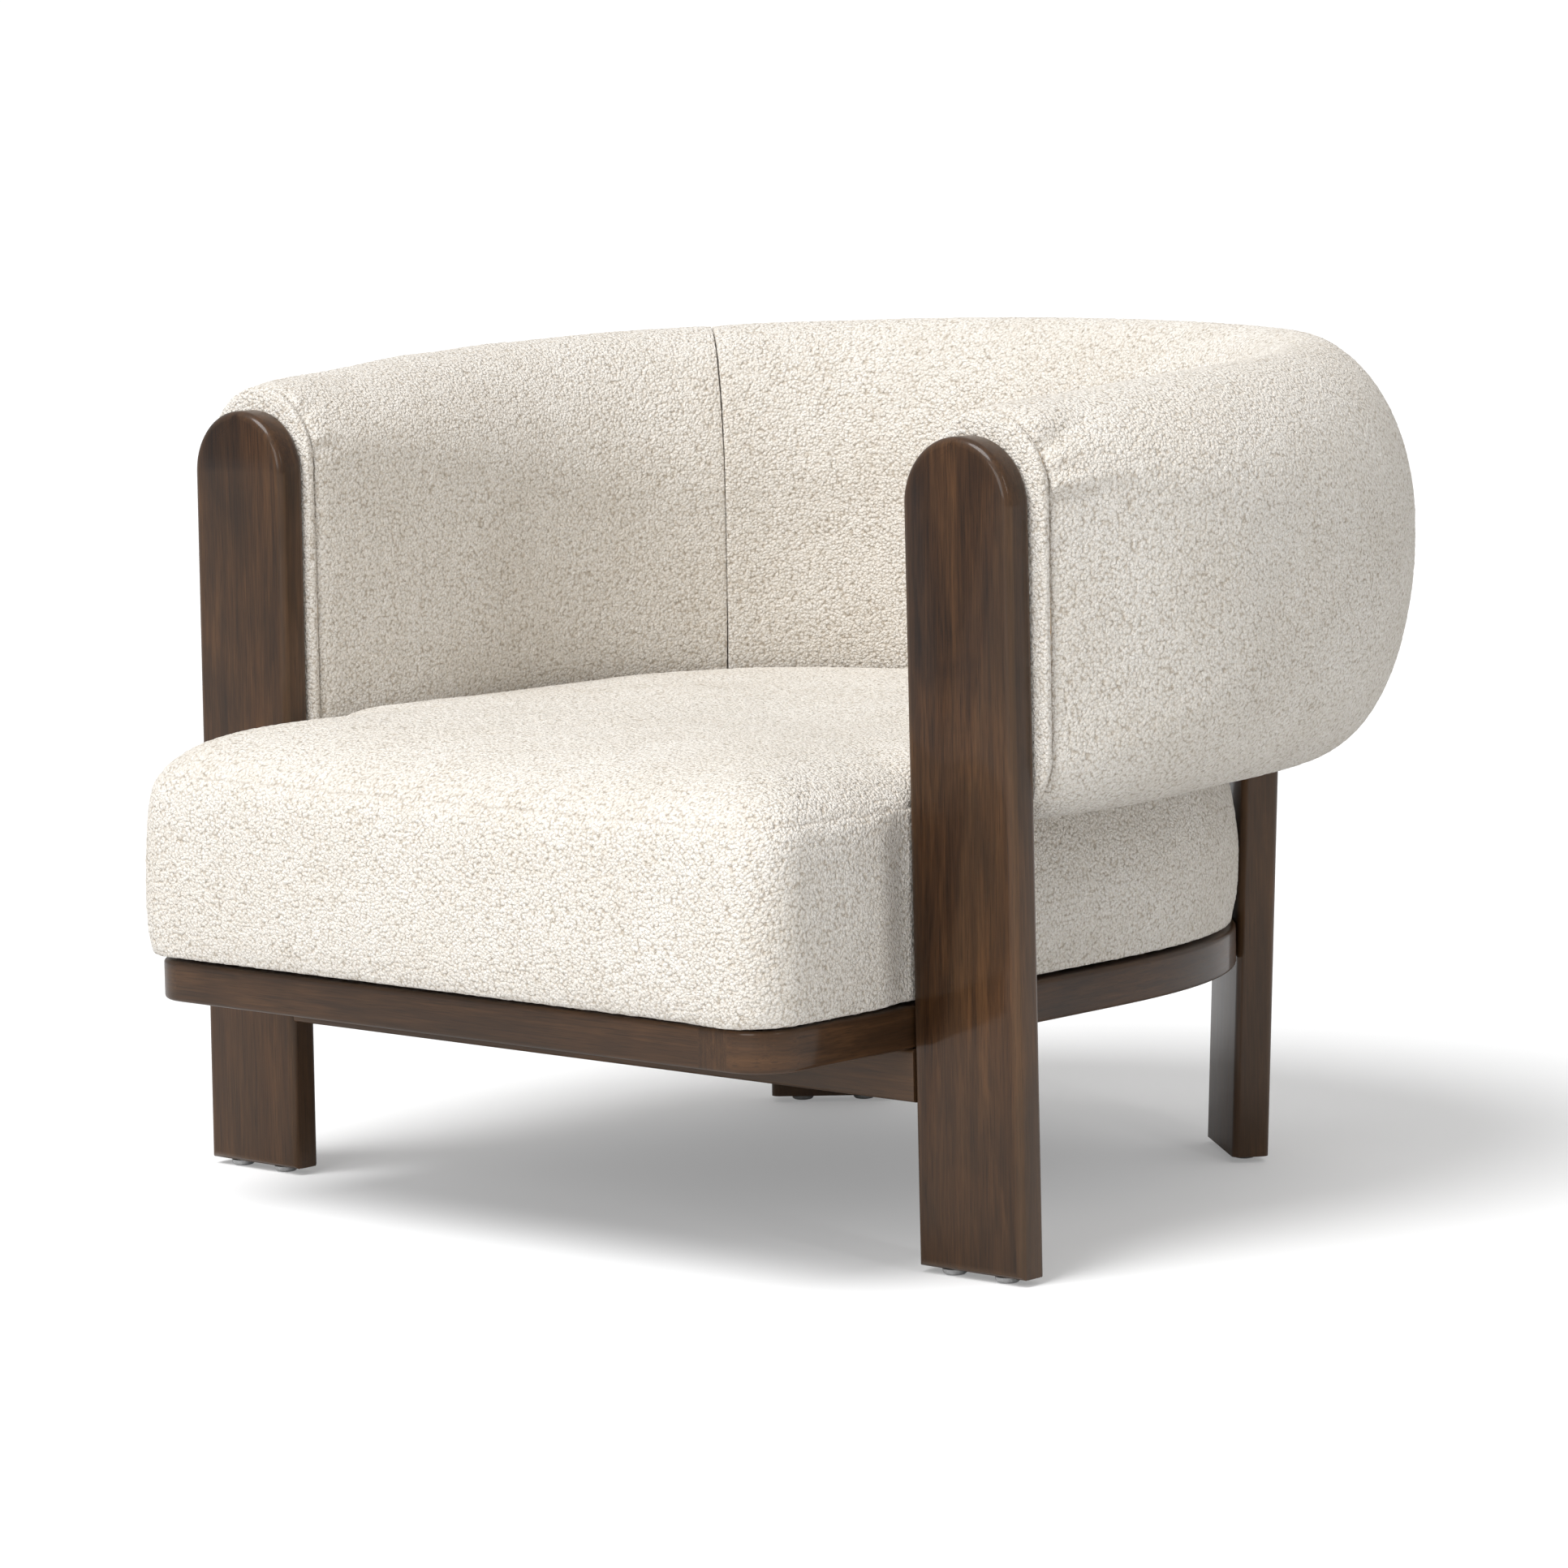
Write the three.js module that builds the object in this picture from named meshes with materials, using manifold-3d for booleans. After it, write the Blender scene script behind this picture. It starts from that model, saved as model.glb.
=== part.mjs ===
// Upholstered barrel armchair: dark wood frame, thick tight seat and one wrap-around arm-and-back band.
// Millimetres, +Z up, the chair faces -Y. While the pieces are made, y = 0 is the front posts' front faces.
import * as THREE from "three";
import { mergeVertices } from "three/addons/utils/BufferGeometryUtils.js";
import Module from "manifold-3d";

const wasm = await Module();
wasm.setup();

// ---------- driving dimensions ----------
const GAP = 0.3; // clearance between pieces that touch
const GLIDE_HEIGHT = 5; // the wood starts this far above the floor

const POST_TOP = 620; // top of the front posts
const POST_WIDTH = 101;
const POST_THICK = 27;
const POST_CENTRE = 377; // x of a post's axis at its top
const POST_SPLAY = 0.0075; // outward lean per mm of drop
const POST_EDGE = 6; // rounding of the posts' long edges

const RING_BOTTOM = 167.2;
const RING_HEIGHT = 32;
const RING_TOP = RING_BOTTOM + RING_HEIGHT;
const RING_WIDTH = 45; // how wide the ring's boards are in plan
const RING_HALF = 329; // outer half width of the ring
const RING_FRONT = -160;
const RING_CORNER = 38; // radius of the front corners
const RING_BACK = 349; // from the bend line to the middle of the ring's back
const RING_POWER = 2.5; // superellipse power of the back curve
const BEND_Y = 230; // the sides are straight in front of this line and curve behind it
const RING_JOINT_Y = 60; // where the front rail's ends meet the side rails
const RING_BACK_RUN = 0.12; // share of half the ring's run that is its back board
const RING_SIDE_RUN = 0.4; // share of half the ring's run that is a straight side board
const RING_JOINT = 0.0005; // run left free at each joint of the ring

const CROSS_RAIL_HEIGHT = 40;
const TENON_LENGTH = 20;
const TENON_THICK = 15;
const TENON_HEIGHT = 28;

const LEG_WIDTH = 106;
const LEG_THICK = 30;
const LEG_TOP = 465;
const LEG_FACING = THREE.MathUtils.degToRad(49.4); // direction that a rear leg faces, from +X
const LEG_OFFSET = 539.8; // from the frame's zero to the leg's inner face, along that direction
const LEG_SIDEWAYS = -181.7; // the leg's axis along its own width, from the same zero
const LEG_RAKE = THREE.MathUtils.degToRad(2.05);

const SEAT_CROWN = 386; // top of the seat's crown
const SEAT_CENTRE_Y = 200;
const SEAT_CLEARANCE = 1.5; // how far inside the ring's outline the seat stays between the posts
const COVER = 2.5; // thickness of the boucle covers
const FOAM_GAP = 1.5; // between a cover and its foam

const FACING_THICK = 8.6; // padded end facing between a post and its arm
const BAND_START = POST_THICK + GAP + FACING_THICK + GAP; // the arm covers start here
const PANEL_THICK = 15; // plywood end panel inside each arm
const STRAIGHT_RUN = 0.3; // share of half the band's run that is straight
const SEAM_ANGLE = 40; // degrees behind the bend line at which the arm covers meet the back cover
const INNER = { front: 322, side: 312, back: 332, power: 2.5 };
const OUTER = { front: 440, side: 486, back: 461, power: 2.4 };
const SECTION_TOP = 1.85; // superellipse powers of the band's cross-section
const SECTION_BOTTOM = 2;
const SECTION_INNER_EDGE = 5;
const FOAM_DEPTH = 34; // foam between the cover and the inner frame's space

const BOLT_SHANK = 3;
const BOLT_HEAD = 7;
const BOLT_HEAD_HEIGHT = 5;

const FRAME_CENTRE_Y = 259.5; // middle of the chair's depth, which becomes y = 0

// ---------- finishes ----------
const walnut = finish(0x3e2a1d, 0.38);
const boucle = finish(0xe6ddd0, 0.95);
const foam = finish(0xe9e2b8, 0.9);
const plywood = finish(0xb48a5c, 0.7);
const webbing = finish(0x5b4a3a, 0.9);
const lining = finish(0x1d1c1c, 0.9);
const steel = finish(0x9a9a98, 0.35, 0.9);
const plastic = finish(0xb9bab8, 0.45);

function finish(color, roughness, metalness = 0) {
  return new THREE.MeshStandardMaterial({ color, roughness, metalness });
}

// ---------- solids ----------
// Leaves only positions, joins equal vertices and turns the faces outwards.
function closed(geometry) {
  const bare = geometry.clone();
  for (const name of Object.keys(bare.attributes)) {
    if (name !== "position") bare.deleteAttribute(name);
  }
  const merged = mergeVertices(bare, 1e-3);
  const index = [];
  const old = merged.index.array;
  for (let i = 0; i < old.length; i += 3) {
    const [a, b, c] = [old[i], old[i + 1], old[i + 2]];
    if (a !== b && b !== c && c !== a) index.push(a, b, c);
  }
  merged.setIndex(index);
  if (signedVolume(merged) < 0) merged.setIndex(index.reverse());
  merged.computeVertexNormals();
  return merged;
}

function signedVolume(geometry) {
  const p = geometry.attributes.position;
  const index = geometry.index.array;
  const [a, b, c] = [new THREE.Vector3(), new THREE.Vector3(), new THREE.Vector3()];
  let volume = 0;
  for (let i = 0; i < index.length; i += 3) {
    a.fromBufferAttribute(p, index[i]);
    b.fromBufferAttribute(p, index[i + 1]);
    c.fromBufferAttribute(p, index[i + 2]);
    volume += a.dot(b.cross(c)) / 6;
  }
  return volume;
}

function toManifold(geometry) {
  const solid = closed(geometry);
  const mesh = new wasm.Mesh({
    numProp: 3,
    vertProperties: new Float32Array(solid.attributes.position.array),
    triVerts: new Uint32Array(solid.index.array),
  });
  return new wasm.Manifold(mesh);
}

function fromManifold(manifold) {
  const mesh = manifold.getMesh();
  const geometry = new THREE.BufferGeometry();
  geometry.setAttribute("position", new THREE.BufferAttribute(new Float32Array(mesh.vertProperties), 3));
  geometry.setIndex(new THREE.BufferAttribute(new Uint32Array(mesh.triVerts), 1));
  return geometry;
}

function cut(geometry, ...tools) {
  const solid = tools.reduce((left, tool) => left.subtract(toManifold(tool)), toManifold(geometry));
  return fromManifold(solid);
}

// Moves every vertex of a geometry to where place(x, y, z) puts it.
function warp(geometry, place) {
  const p = geometry.attributes.position;
  for (let i = 0; i < p.count; i += 1) {
    const [x, y, z] = place(p.getX(i), p.getY(i), p.getZ(i));
    p.setXYZ(i, x, y, z);
  }
  return geometry;
}

function box(x0, x1, y0, y1, z0, z1) {
  const geometry = new THREE.BoxGeometry(x1 - x0, y1 - y0, z1 - z0);
  return geometry.translate((x0 + x1) / 2, (y0 + y1) / 2, (z0 + z1) / 2);
}

// A shape drawn in x and z, from y0 back to y1, with rounded edges.
function standing(shape, y0, y1, edge, curveSegments = 12) {
  const geometry = new THREE.ExtrudeGeometry(shape, {
    depth: y1 - y0 - 2 * edge,
    bevelEnabled: edge > 0,
    bevelThickness: edge,
    bevelSize: edge,
    bevelOffset: -edge,
    bevelSegments: 2,
    curveSegments,
  });
  return geometry.rotateX(Math.PI / 2).translate(0, y1 - edge, 0);
}

// A round bar from one point to another.
function rod(from, to, radius, segments = 12) {
  const line = new THREE.Vector3().subVectors(to, from);
  const geometry = new THREE.CylinderGeometry(radius, radius, line.length(), segments);
  const turn = new THREE.Quaternion().setFromUnitVectors(new THREE.Vector3(0, 1, 0), line.clone().normalize());
  return geometry.applyQuaternion(turn).translate(...from.clone().add(to).multiplyScalar(0.5).toArray());
}

// A bolt with its head's underside at seat, its shank running along the direction.
function bolt(seat, direction, length) {
  const profile = [
    new THREE.Vector2(0, -BOLT_HEAD_HEIGHT),
    new THREE.Vector2(BOLT_HEAD, -BOLT_HEAD_HEIGHT),
    new THREE.Vector2(BOLT_HEAD, 0),
    new THREE.Vector2(BOLT_SHANK, 0),
    new THREE.Vector2(BOLT_SHANK, length),
    new THREE.Vector2(0, length),
  ];
  const turn = new THREE.Quaternion().setFromUnitVectors(new THREE.Vector3(0, 1, 0), direction);
  return new THREE.LatheGeometry(profile, 12).applyQuaternion(turn).translate(...seat.toArray());
}

function boltHole(seat, direction, length) {
  const start = seat.clone().addScaledVector(direction, -1);
  return rod(start, seat.clone().addScaledVector(direction, length + 1), BOLT_SHANK + GAP);
}

function mirrored(geometry) {
  return closed(geometry.clone().scale(-1, 1, 1));
}

function smooth(t) {
  const k = THREE.MathUtils.clamp(t, 0, 1);
  return k * k * (3 - 2 * k);
}

function signedPower(value, power) {
  return Math.sign(value) * Math.abs(value) ** power;
}

// ---------- plan curves ----------
// Point of a superellipse quarter around (0, BEND_Y) at an angle from +X.
function bendPoint(side, back, power, angle) {
  const [c, s] = [Math.cos(angle), Math.sin(angle)];
  const reach = ((c / side) ** power + (Math.abs(s) / back) ** power) ** (-1 / power);
  return new THREE.Vector2(Math.max(c * reach, 0), BEND_Y + s * reach);
}

// Outer edge of the seat ring: run 1 is the joint with the front rail, 0 the middle of the back.
function ringPoint(run) {
  const s = 1 - Math.abs(run);
  const point =
    s < RING_SIDE_RUN
      ? new THREE.Vector2(RING_HALF, THREE.MathUtils.lerp(RING_JOINT_Y, BEND_Y, s / RING_SIDE_RUN))
      : bendPoint(RING_HALF, RING_BACK, RING_POWER, ((s - RING_SIDE_RUN) / (1 - RING_SIDE_RUN)) * (Math.PI / 2));
  return new THREE.Vector2(Math.sign(run) * point.x, point.y);
}

// The ring's whole outline, used for the seat and the lining.
function ringOutline() {
  const outline = new THREE.Path();
  outline.moveTo(0, RING_FRONT);
  outline.lineTo(RING_HALF - RING_CORNER, RING_FRONT);
  outline.absarc(RING_HALF - RING_CORNER, RING_FRONT + RING_CORNER, RING_CORNER, -Math.PI / 2, 0);
  outline.lineTo(RING_HALF, BEND_Y);
  const steps = 24;
  for (let i = 1; i < 2 * steps; i += 1) {
    const angle = (i / steps) * (Math.PI / 2);
    const right = angle <= Math.PI / 2;
    const point = bendPoint(RING_HALF, RING_BACK, RING_POWER, right ? angle : Math.PI - angle);
    outline.lineTo(right ? point.x : -point.x, point.y);
  }
  outline.lineTo(-RING_HALF, BEND_Y);
  outline.lineTo(-RING_HALF, RING_FRONT + RING_CORNER);
  outline.absarc(-RING_HALF + RING_CORNER, RING_FRONT + RING_CORNER, RING_CORNER, Math.PI, 1.5 * Math.PI);
  outline.closePath();
  return outline;
}

const AXIS = null; // stands for the middle of the seat where a distance inside the outline is asked for

// Rows of points carried round the ring's outline: at(row, y) gives how far inside it a row lies, and its height.
function onOutline(rows, segments, at) {
  const outline = ringOutline();
  const steps = Array.from({ length: rows }, (_, row) => new THREE.Vector2(1, row));
  return warp(new THREE.LatheGeometry(steps, segments), (x, row, y) => {
    const turn = (Math.atan2(x, y) / (2 * Math.PI) + 1) % 1;
    const edge = outline.getPointAt(turn < 1e-6 || turn > 1 - 1e-6 ? 0 : turn);
    const [inside, z] = at(Math.round(row), edge.y);
    const middle = new THREE.Vector2(0, SEAT_CENTRE_Y);
    const ray = edge.sub(middle);
    const point = inside === AXIS ? middle : middle.addScaledVector(ray, 1 - inside / ray.length());
    return [point.x, point.y, z];
  });
}

// A straight-sided board that follows a plan curve from run0 to run1, measured inwards across its width.
function board(curve, run0, run1, across0, across1, z0, z1, steps) {
  const geometry = new THREE.BoxGeometry(across1 - across0, run1 - run0, z1 - z0, 1, steps, 1);
  geometry.translate((across0 + across1) / 2, (run0 + run1) / 2, (z0 + z1) / 2);
  return warp(geometry, (across, run, z) => {
    const ahead = curve(Math.max(run - 1e-3, -1));
    const behind = curve(Math.min(run + 1e-3, 1));
    const inward = new THREE.Vector2(behind.y - ahead.y, ahead.x - behind.x).normalize();
    const point = curve(run).addScaledVector(inward, across);
    return [point.x, point.y, z];
  });
}

// ---------- the arm-and-back band ----------
// Run 1 is the right arm's front end, 0 the middle of the back, -1 the left arm's front end.
function bandPlan(run, face) {
  const s = 1 - Math.abs(run);
  const flare = Math.sin((Math.min(s / STRAIGHT_RUN, 1) * Math.PI) / 2);
  const x = THREE.MathUtils.lerp(face.front, face.side, flare);
  const y = THREE.MathUtils.lerp(BAND_START, BEND_Y, s / STRAIGHT_RUN);
  const angle = ((s - STRAIGHT_RUN) / (1 - STRAIGHT_RUN)) * (Math.PI / 2);
  const point = s < STRAIGHT_RUN ? new THREE.Vector2(x, y) : bendPoint(face.side, face.back, face.power, angle);
  return new THREE.Vector2((run < 0 ? -1 : 1) * point.x, point.y);
}

function bandMiddle(run) {
  return bandPlan(run, INNER).add(bandPlan(run, OUTER)).multiplyScalar(0.5);
}

// Heights of the cross-section: the round top and bottom and where they begin.
function bandHeights(run) {
  const s = 1 - Math.abs(run);
  const grown = smooth(s / 0.55);
  const top = 639.5 + 33 * Math.sin((s * Math.PI) / 2);
  return {
    top,
    bottom: THREE.MathUtils.lerp(334, 343, grown),
    topStart: THREE.MathUtils.lerp(top - 59, 527, grown),
    bottomStart: THREE.MathUtils.lerp(388, 511, grown),
  };
}

// Point on the band's skin, or inset mm inside it. Angle 0 faces outwards, a quarter turn is the top.
function bandPoint(run, angle, inset) {
  const [c, s] = [Math.cos(angle), Math.sin(angle)];
  const lower = c < 0 ? SECTION_INNER_EDGE : SECTION_BOTTOM;
  const power = s < 0 ? lower : SECTION_TOP;
  const [u, w] = [signedPower(c, 2 / power), signedPower(s, 2 / power)];
  const { top, bottom, topStart, bottomStart } = bandHeights(run);
  let z = (topStart + bottomStart) / 2;
  if (s > 1e-6) z = topStart + w * (top - topStart - inset);
  if (s < -1e-6) z = bottomStart + w * (bottomStart - bottom - inset);
  const middle = bandMiddle(run);
  const across = bandPlan(run, OUTER).sub(middle);
  const half = across.length();
  const point = middle.addScaledVector(across.normalize(), u * (half - inset));
  return [point.x, point.y, z];
}

const SECTION_SEGMENTS = 24;
const SKIN_REFERENCE = 100; // a tube profile's r of this value lies on the band's skin

// A sleeve of the band through the stations, from one inset to a deeper one, open at both ends.
function bandSleeve(stations, outerInset, innerInset) {
  const skin = stations.map((run) => new THREE.Vector2(SKIN_REFERENCE - outerInset, run));
  const hollow = stations.map((run) => new THREE.Vector2(SKIN_REFERENCE - innerInset, run)).reverse();
  const profile = [...skin, ...hollow, skin[0].clone()];
  return warp(new THREE.LatheGeometry(profile, SECTION_SEGMENTS), (x, run, y) =>
    bandPoint(run, Math.atan2(x, y), SKIN_REFERENCE - Math.hypot(x, y)),
  );
}

// The band's cross-section at its front end as a flat outline.
function endOutline(inset) {
  const points = [];
  for (let i = 0; i < SECTION_SEGMENTS; i += 1) {
    const [x, , z] = bandPoint(1, (i / SECTION_SEGMENTS) * 2 * Math.PI, inset);
    points.push(new THREE.Vector2(x, z));
  }
  return new THREE.Shape(points);
}

// Run at an angle behind the bend line, and at a distance from the front of the straight arm.
function runAtAngle(degrees) {
  return 1 - STRAIGHT_RUN - (degrees / 90) * (1 - STRAIGHT_RUN);
}

function runAtDepth(y) {
  return 1 - (STRAIGHT_RUN * (y - BAND_START)) / (BEND_Y - BAND_START);
}

// ---------- wooden frame ----------
function postX(z) {
  return POST_CENTRE + POST_SPLAY * (POST_TOP - z);
}

function frontPost() {
  const half = POST_WIDTH / 2;
  const shoulder = POST_TOP - half;
  const outline = new THREE.Shape();
  outline.moveTo(postX(GLIDE_HEIGHT) - half, GLIDE_HEIGHT);
  outline.lineTo(postX(GLIDE_HEIGHT) + half, GLIDE_HEIGHT);
  outline.lineTo(postX(shoulder) + half, shoulder);
  outline.absarc(postX(shoulder), shoulder, half, 0, Math.PI);
  outline.closePath();
  const inner = postX(RING_BOTTOM) - half;
  const railMiddle = RING_BOTTOM - GAP - CROSS_RAIL_HEIGHT / 2;
  const mortise = box(
    inner - 10,
    inner + TENON_LENGTH + GAP,
    POST_THICK / 2 - TENON_THICK / 2 - GAP,
    POST_THICK / 2 + TENON_THICK / 2 + GAP,
    railMiddle - TENON_HEIGHT / 2 - GAP,
    railMiddle + TENON_HEIGHT / 2 + GAP,
  );
  const holes = [RING_BOLT, ...ARM_BOLTS].map((b) => boltHole(b.seat, b.direction, b.length));
  return cut(standing(outline, 0, POST_THICK, POST_EDGE), mortise, ...holes);
}

function crossRail() {
  const half = RING_HALF + 0.4;
  const z1 = RING_BOTTOM - GAP;
  const z0 = z1 - CROSS_RAIL_HEIGHT;
  const middle = (z0 + z1) / 2;
  const body = toManifold(box(-half, half, 0.4, POST_THICK - 0.4, z0, z1));
  const [y0, y1] = [POST_THICK / 2 - TENON_THICK / 2, POST_THICK / 2 + TENON_THICK / 2];
  const reach = half + TENON_LENGTH - 1;
  const tenons = box(-reach, reach, y0, y1, middle - TENON_HEIGHT / 2, middle + TENON_HEIGHT / 2);
  return fromManifold(body.add(toManifold(tenons)));
}

// Puts a piece made around a leg's own axes (x width, y outwards, z up) where the right leg stands.
function atRightLeg(geometry) {
  geometry.translate(0, 0, -RING_BOTTOM);
  geometry.rotateX(-LEG_RAKE);
  geometry.translate(LEG_SIDEWAYS, LEG_OFFSET, RING_BOTTOM);
  return geometry.rotateZ(LEG_FACING - Math.PI / 2);
}

function legSlab(extra) {
  const half = LEG_WIDTH / 2 + extra;
  const outline = new THREE.Shape();
  outline.moveTo(-half, -20);
  outline.lineTo(half, -20);
  outline.lineTo(half, LEG_TOP + extra);
  outline.lineTo(-half, LEG_TOP + extra);
  outline.closePath();
  return atRightLeg(standing(outline, -extra, LEG_THICK + extra, extra > 0 ? 0 : POST_EDGE));
}

function rearLeg() {
  const ground = box(-800, 800, -800, 1200, -100, GLIDE_HEIGHT);
  const holes = LEG_BOLTS.map((b) => boltHole(b.seat, b.direction, b.length));
  return cut(legSlab(0), ground, ...holes);
}

function ringFront() {
  const inner = RING_HALF - RING_WIDTH;
  const [y0, y1] = [RING_FRONT, RING_JOINT_Y - GAP];
  const outline = new THREE.Shape();
  outline.moveTo(-RING_HALF + RING_CORNER, y0);
  outline.lineTo(RING_HALF - RING_CORNER, y0);
  outline.absarc(RING_HALF - RING_CORNER, y0 + RING_CORNER, RING_CORNER, -Math.PI / 2, 0);
  outline.lineTo(RING_HALF, y1);
  outline.lineTo(inner, y1);
  outline.lineTo(inner, y0 + RING_WIDTH);
  outline.lineTo(-inner, y0 + RING_WIDTH);
  outline.lineTo(-inner, y1);
  outline.lineTo(-RING_HALF, y1);
  outline.absarc(-RING_HALF + RING_CORNER, y0 + RING_CORNER, RING_CORNER, Math.PI, 1.5 * Math.PI);
  const options = { depth: RING_HEIGHT, bevelEnabled: false, curveSegments: 8 };
  const hole = boltHole(RING_BOLT.seat, RING_BOLT.direction, RING_BOLT.length);
  const rail = new THREE.ExtrudeGeometry(outline, options).translate(0, 0, RING_BOTTOM);
  return cut(rail, hole, mirrored(hole));
}

function ringBoard(run0, run1, steps) {
  return board(ringPoint, run0, run1, 0, RING_WIDTH, RING_BOTTOM, RING_TOP, steps);
}

function ringSide() {
  return ringBoard(1 - RING_SIDE_RUN + RING_JOINT, 1, 1);
}

function ringCorner() {
  const holes = LEG_BOLTS.map((b) => boltHole(b.seat, b.direction, b.length));
  return cut(ringBoard(RING_BACK_RUN + RING_JOINT, 1 - RING_SIDE_RUN - RING_JOINT, 12), ...holes);
}

function cornerBlock() {
  const [x, y] = [RING_HALF - RING_WIDTH - GAP, RING_FRONT + RING_WIDTH + GAP];
  const leg = 24;
  const outline = new THREE.Shape();
  outline.moveTo(x, y);
  outline.lineTo(x, y + leg);
  outline.lineTo(x - 3 * leg, y);
  outline.closePath();
  const options = { depth: RING_HEIGHT - 8, bevelEnabled: false };
  return new THREE.ExtrudeGeometry(outline, options).translate(0, 0, RING_BOTTOM + 5);
}

// ---------- fasteners and glides ----------
const alongX = new THREE.Vector3(1, 0, 0);
const towardsFront = new THREE.Vector3(0, -1, 0);
const alongLeg = new THREE.Vector3(Math.cos(LEG_FACING), Math.sin(LEG_FACING), 0);
const ringMiddle = RING_BOTTOM + RING_HEIGHT / 2;

const RING_BOLT = {
  seat: new THREE.Vector3(RING_HALF - RING_WIDTH - GAP, POST_THICK / 2, ringMiddle),
  direction: alongX,
  length: RING_WIDTH + 40,
};

const ARM_BOLTS = [460, 525].map((z) => ({
  seat: new THREE.Vector3((INNER.front + OUTER.front) / 2, BAND_START + PANEL_THICK + 2 * GAP, z),
  direction: towardsFront,
  length: PANEL_THICK + FACING_THICK + 20,
}));

const LEG_BOLTS = [-26, 26].map((side) => {
  const seat = new THREE.Vector3(LEG_SIDEWAYS + side, LEG_OFFSET - RING_WIDTH - 11, ringMiddle);
  seat.applyAxisAngle(new THREE.Vector3(0, 0, 1), LEG_FACING - Math.PI / 2);
  return { seat, direction: alongLeg, length: RING_WIDTH + 31 };
});

function makeBolt(spec) {
  return bolt(spec.seat, spec.direction, spec.length);
}

// Plastic glide with a flat foot, under a leg.
function glide(x, y) {
  const top = GLIDE_HEIGHT - GAP;
  const profile = [
    new THREE.Vector2(0, 0),
    new THREE.Vector2(6, 0),
    new THREE.Vector2(8.6, 1.4),
    new THREE.Vector2(9.6, top - 0.8),
    new THREE.Vector2(9.6, top),
    new THREE.Vector2(0, top),
  ];
  return new THREE.LatheGeometry(profile, 16).rotateX(Math.PI / 2).translate(x, y, 0);
}

function legFootPoint(along) {
  const drop = Math.tan(LEG_RAKE) * (RING_BOTTOM - GLIDE_HEIGHT);
  const point = new THREE.Vector2(LEG_SIDEWAYS + along, LEG_OFFSET + LEG_THICK / 2 - drop);
  return point.rotateAround(new THREE.Vector2(0, 0), LEG_FACING - Math.PI / 2);
}

// ---------- seat ----------
// The seat's side and crown, from the ring up: how far inside the ring's outline and how high,
// in front of the posts and then where the band squeezes the seat.
const SEAT_PROFILE = [
  { front: [-5, RING_TOP + 1], rear: [4, RING_TOP + 1] },
  { front: [-9, RING_TOP + 9], rear: [3, RING_TOP + 9] },
  { front: [-12, 230], rear: [-1, 230] },
  { front: [-12, 265], rear: [-1.5, 265] },
  { front: [-10, 300], rear: [3, 300] },
  { front: [-8, 322], rear: [8, 321] },
  { front: [-4, 337], rear: [14, 334] },
  { front: [2, 346], rear: [19, 346] },
  { front: [11, 354], rear: [19, 358] },
  { front: [22, 361], rear: [22, 369] },
  { front: [40, 369], rear: [34, 376] },
  { front: [75, 377], rear: [65, 381] },
  { front: [130, 383], rear: [130, 384] },
  { front: [200, SEAT_CROWN - 1], rear: [200, SEAT_CROWN - 1] },
];
const SEAT_SEGMENTS = 96;

// Distance inside the outline and height of a row of the seat's profile, where the outline is at y.
function seatPoint(row, y, inset) {
  const { front, rear } = SEAT_PROFILE[row];
  const back = smooth((y + 10) / 60);
  const clear = Math.max(-y - 6, y - BAND_START, 0);
  const inside = THREE.MathUtils.lerp(front[0], rear[0], back);
  const squeeze = Math.max(SEAT_CLEARANCE - inside, 0) * (1 - smooth(clear / 30));
  const z = THREE.MathUtils.lerp(front[1], rear[1], back);
  return [inside + squeeze + inset, row === 0 ? z : z - inset];
}

function seatCover() {
  const rows = SEAT_PROFILE.length;
  return onOutline(2 * rows + 3, SEAT_SEGMENTS, (row, y) => {
    if (row === 0 || row === 2 * rows + 2) return [AXIS, SEAT_CROWN];
    if (row === rows + 1 + rows) return [AXIS, SEAT_CROWN - COVER];
    return row <= rows ? seatPoint(rows - row, y, 0) : seatPoint(row - rows - 1, y, COVER);
  });
}

function seatFoam() {
  const inset = COVER + FOAM_GAP;
  const bottom = RING_TOP + 3.5;
  const rows = SEAT_PROFILE.length;
  return onOutline(rows + 2, SEAT_SEGMENTS, (row, y) => {
    if (row === 0) return [AXIS, bottom];
    if (row === rows + 1) return [AXIS, SEAT_CROWN - inset];
    const [inside, z] = seatPoint(row - 1, y, inset);
    return [inside, row === 1 ? bottom : z];
  });
}

function liningSheet() {
  const inside = 1.5 * RING_WIDTH;
  const [z0, z1] = [RING_BOTTOM + 1, RING_BOTTOM + 2.5];
  const rows = [[AXIS, z0], [inside, z0], [inside, z1], [AXIS, z1]];
  return onOutline(rows.length, 40, (row) => rows[row]);
}

function webStrap(y) {
  const behind = Math.max(y + 25 - BEND_Y, 0) / RING_BACK;
  const half = RING_HALF * (1 - behind ** RING_POWER) ** (1 / RING_POWER) - 18;
  return box(-half, half, y - 25, y + 25, RING_TOP + GAP, RING_TOP + GAP + 2);
}

// ---------- band pieces ----------
const armEnd = runAtAngle(SEAM_ANGLE);
const seamGap = 0.0008;
const foamStart = runAtDepth(BAND_START + PANEL_THICK + 2 * GAP);
const railStart = runAtDepth(BAND_START + PANEL_THICK + 3);
const foamStations = between(armEnd + seamGap, foamStart, 6);
const armStations = [...foamStations, 1];
const backStations = between(-armEnd + seamGap, armEnd - seamGap, 12);

function between(from, to, steps) {
  return Array.from({ length: steps + 1 }, (_, i) => from + ((to - from) * i) / steps);
}

function backSleeve(outerInset, innerInset) {
  const sleeve = bandSleeve(backStations, outerInset, innerInset);
  const slot = legSlab(GAP);
  return cut(sleeve, slot, mirrored(slot));
}

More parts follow.
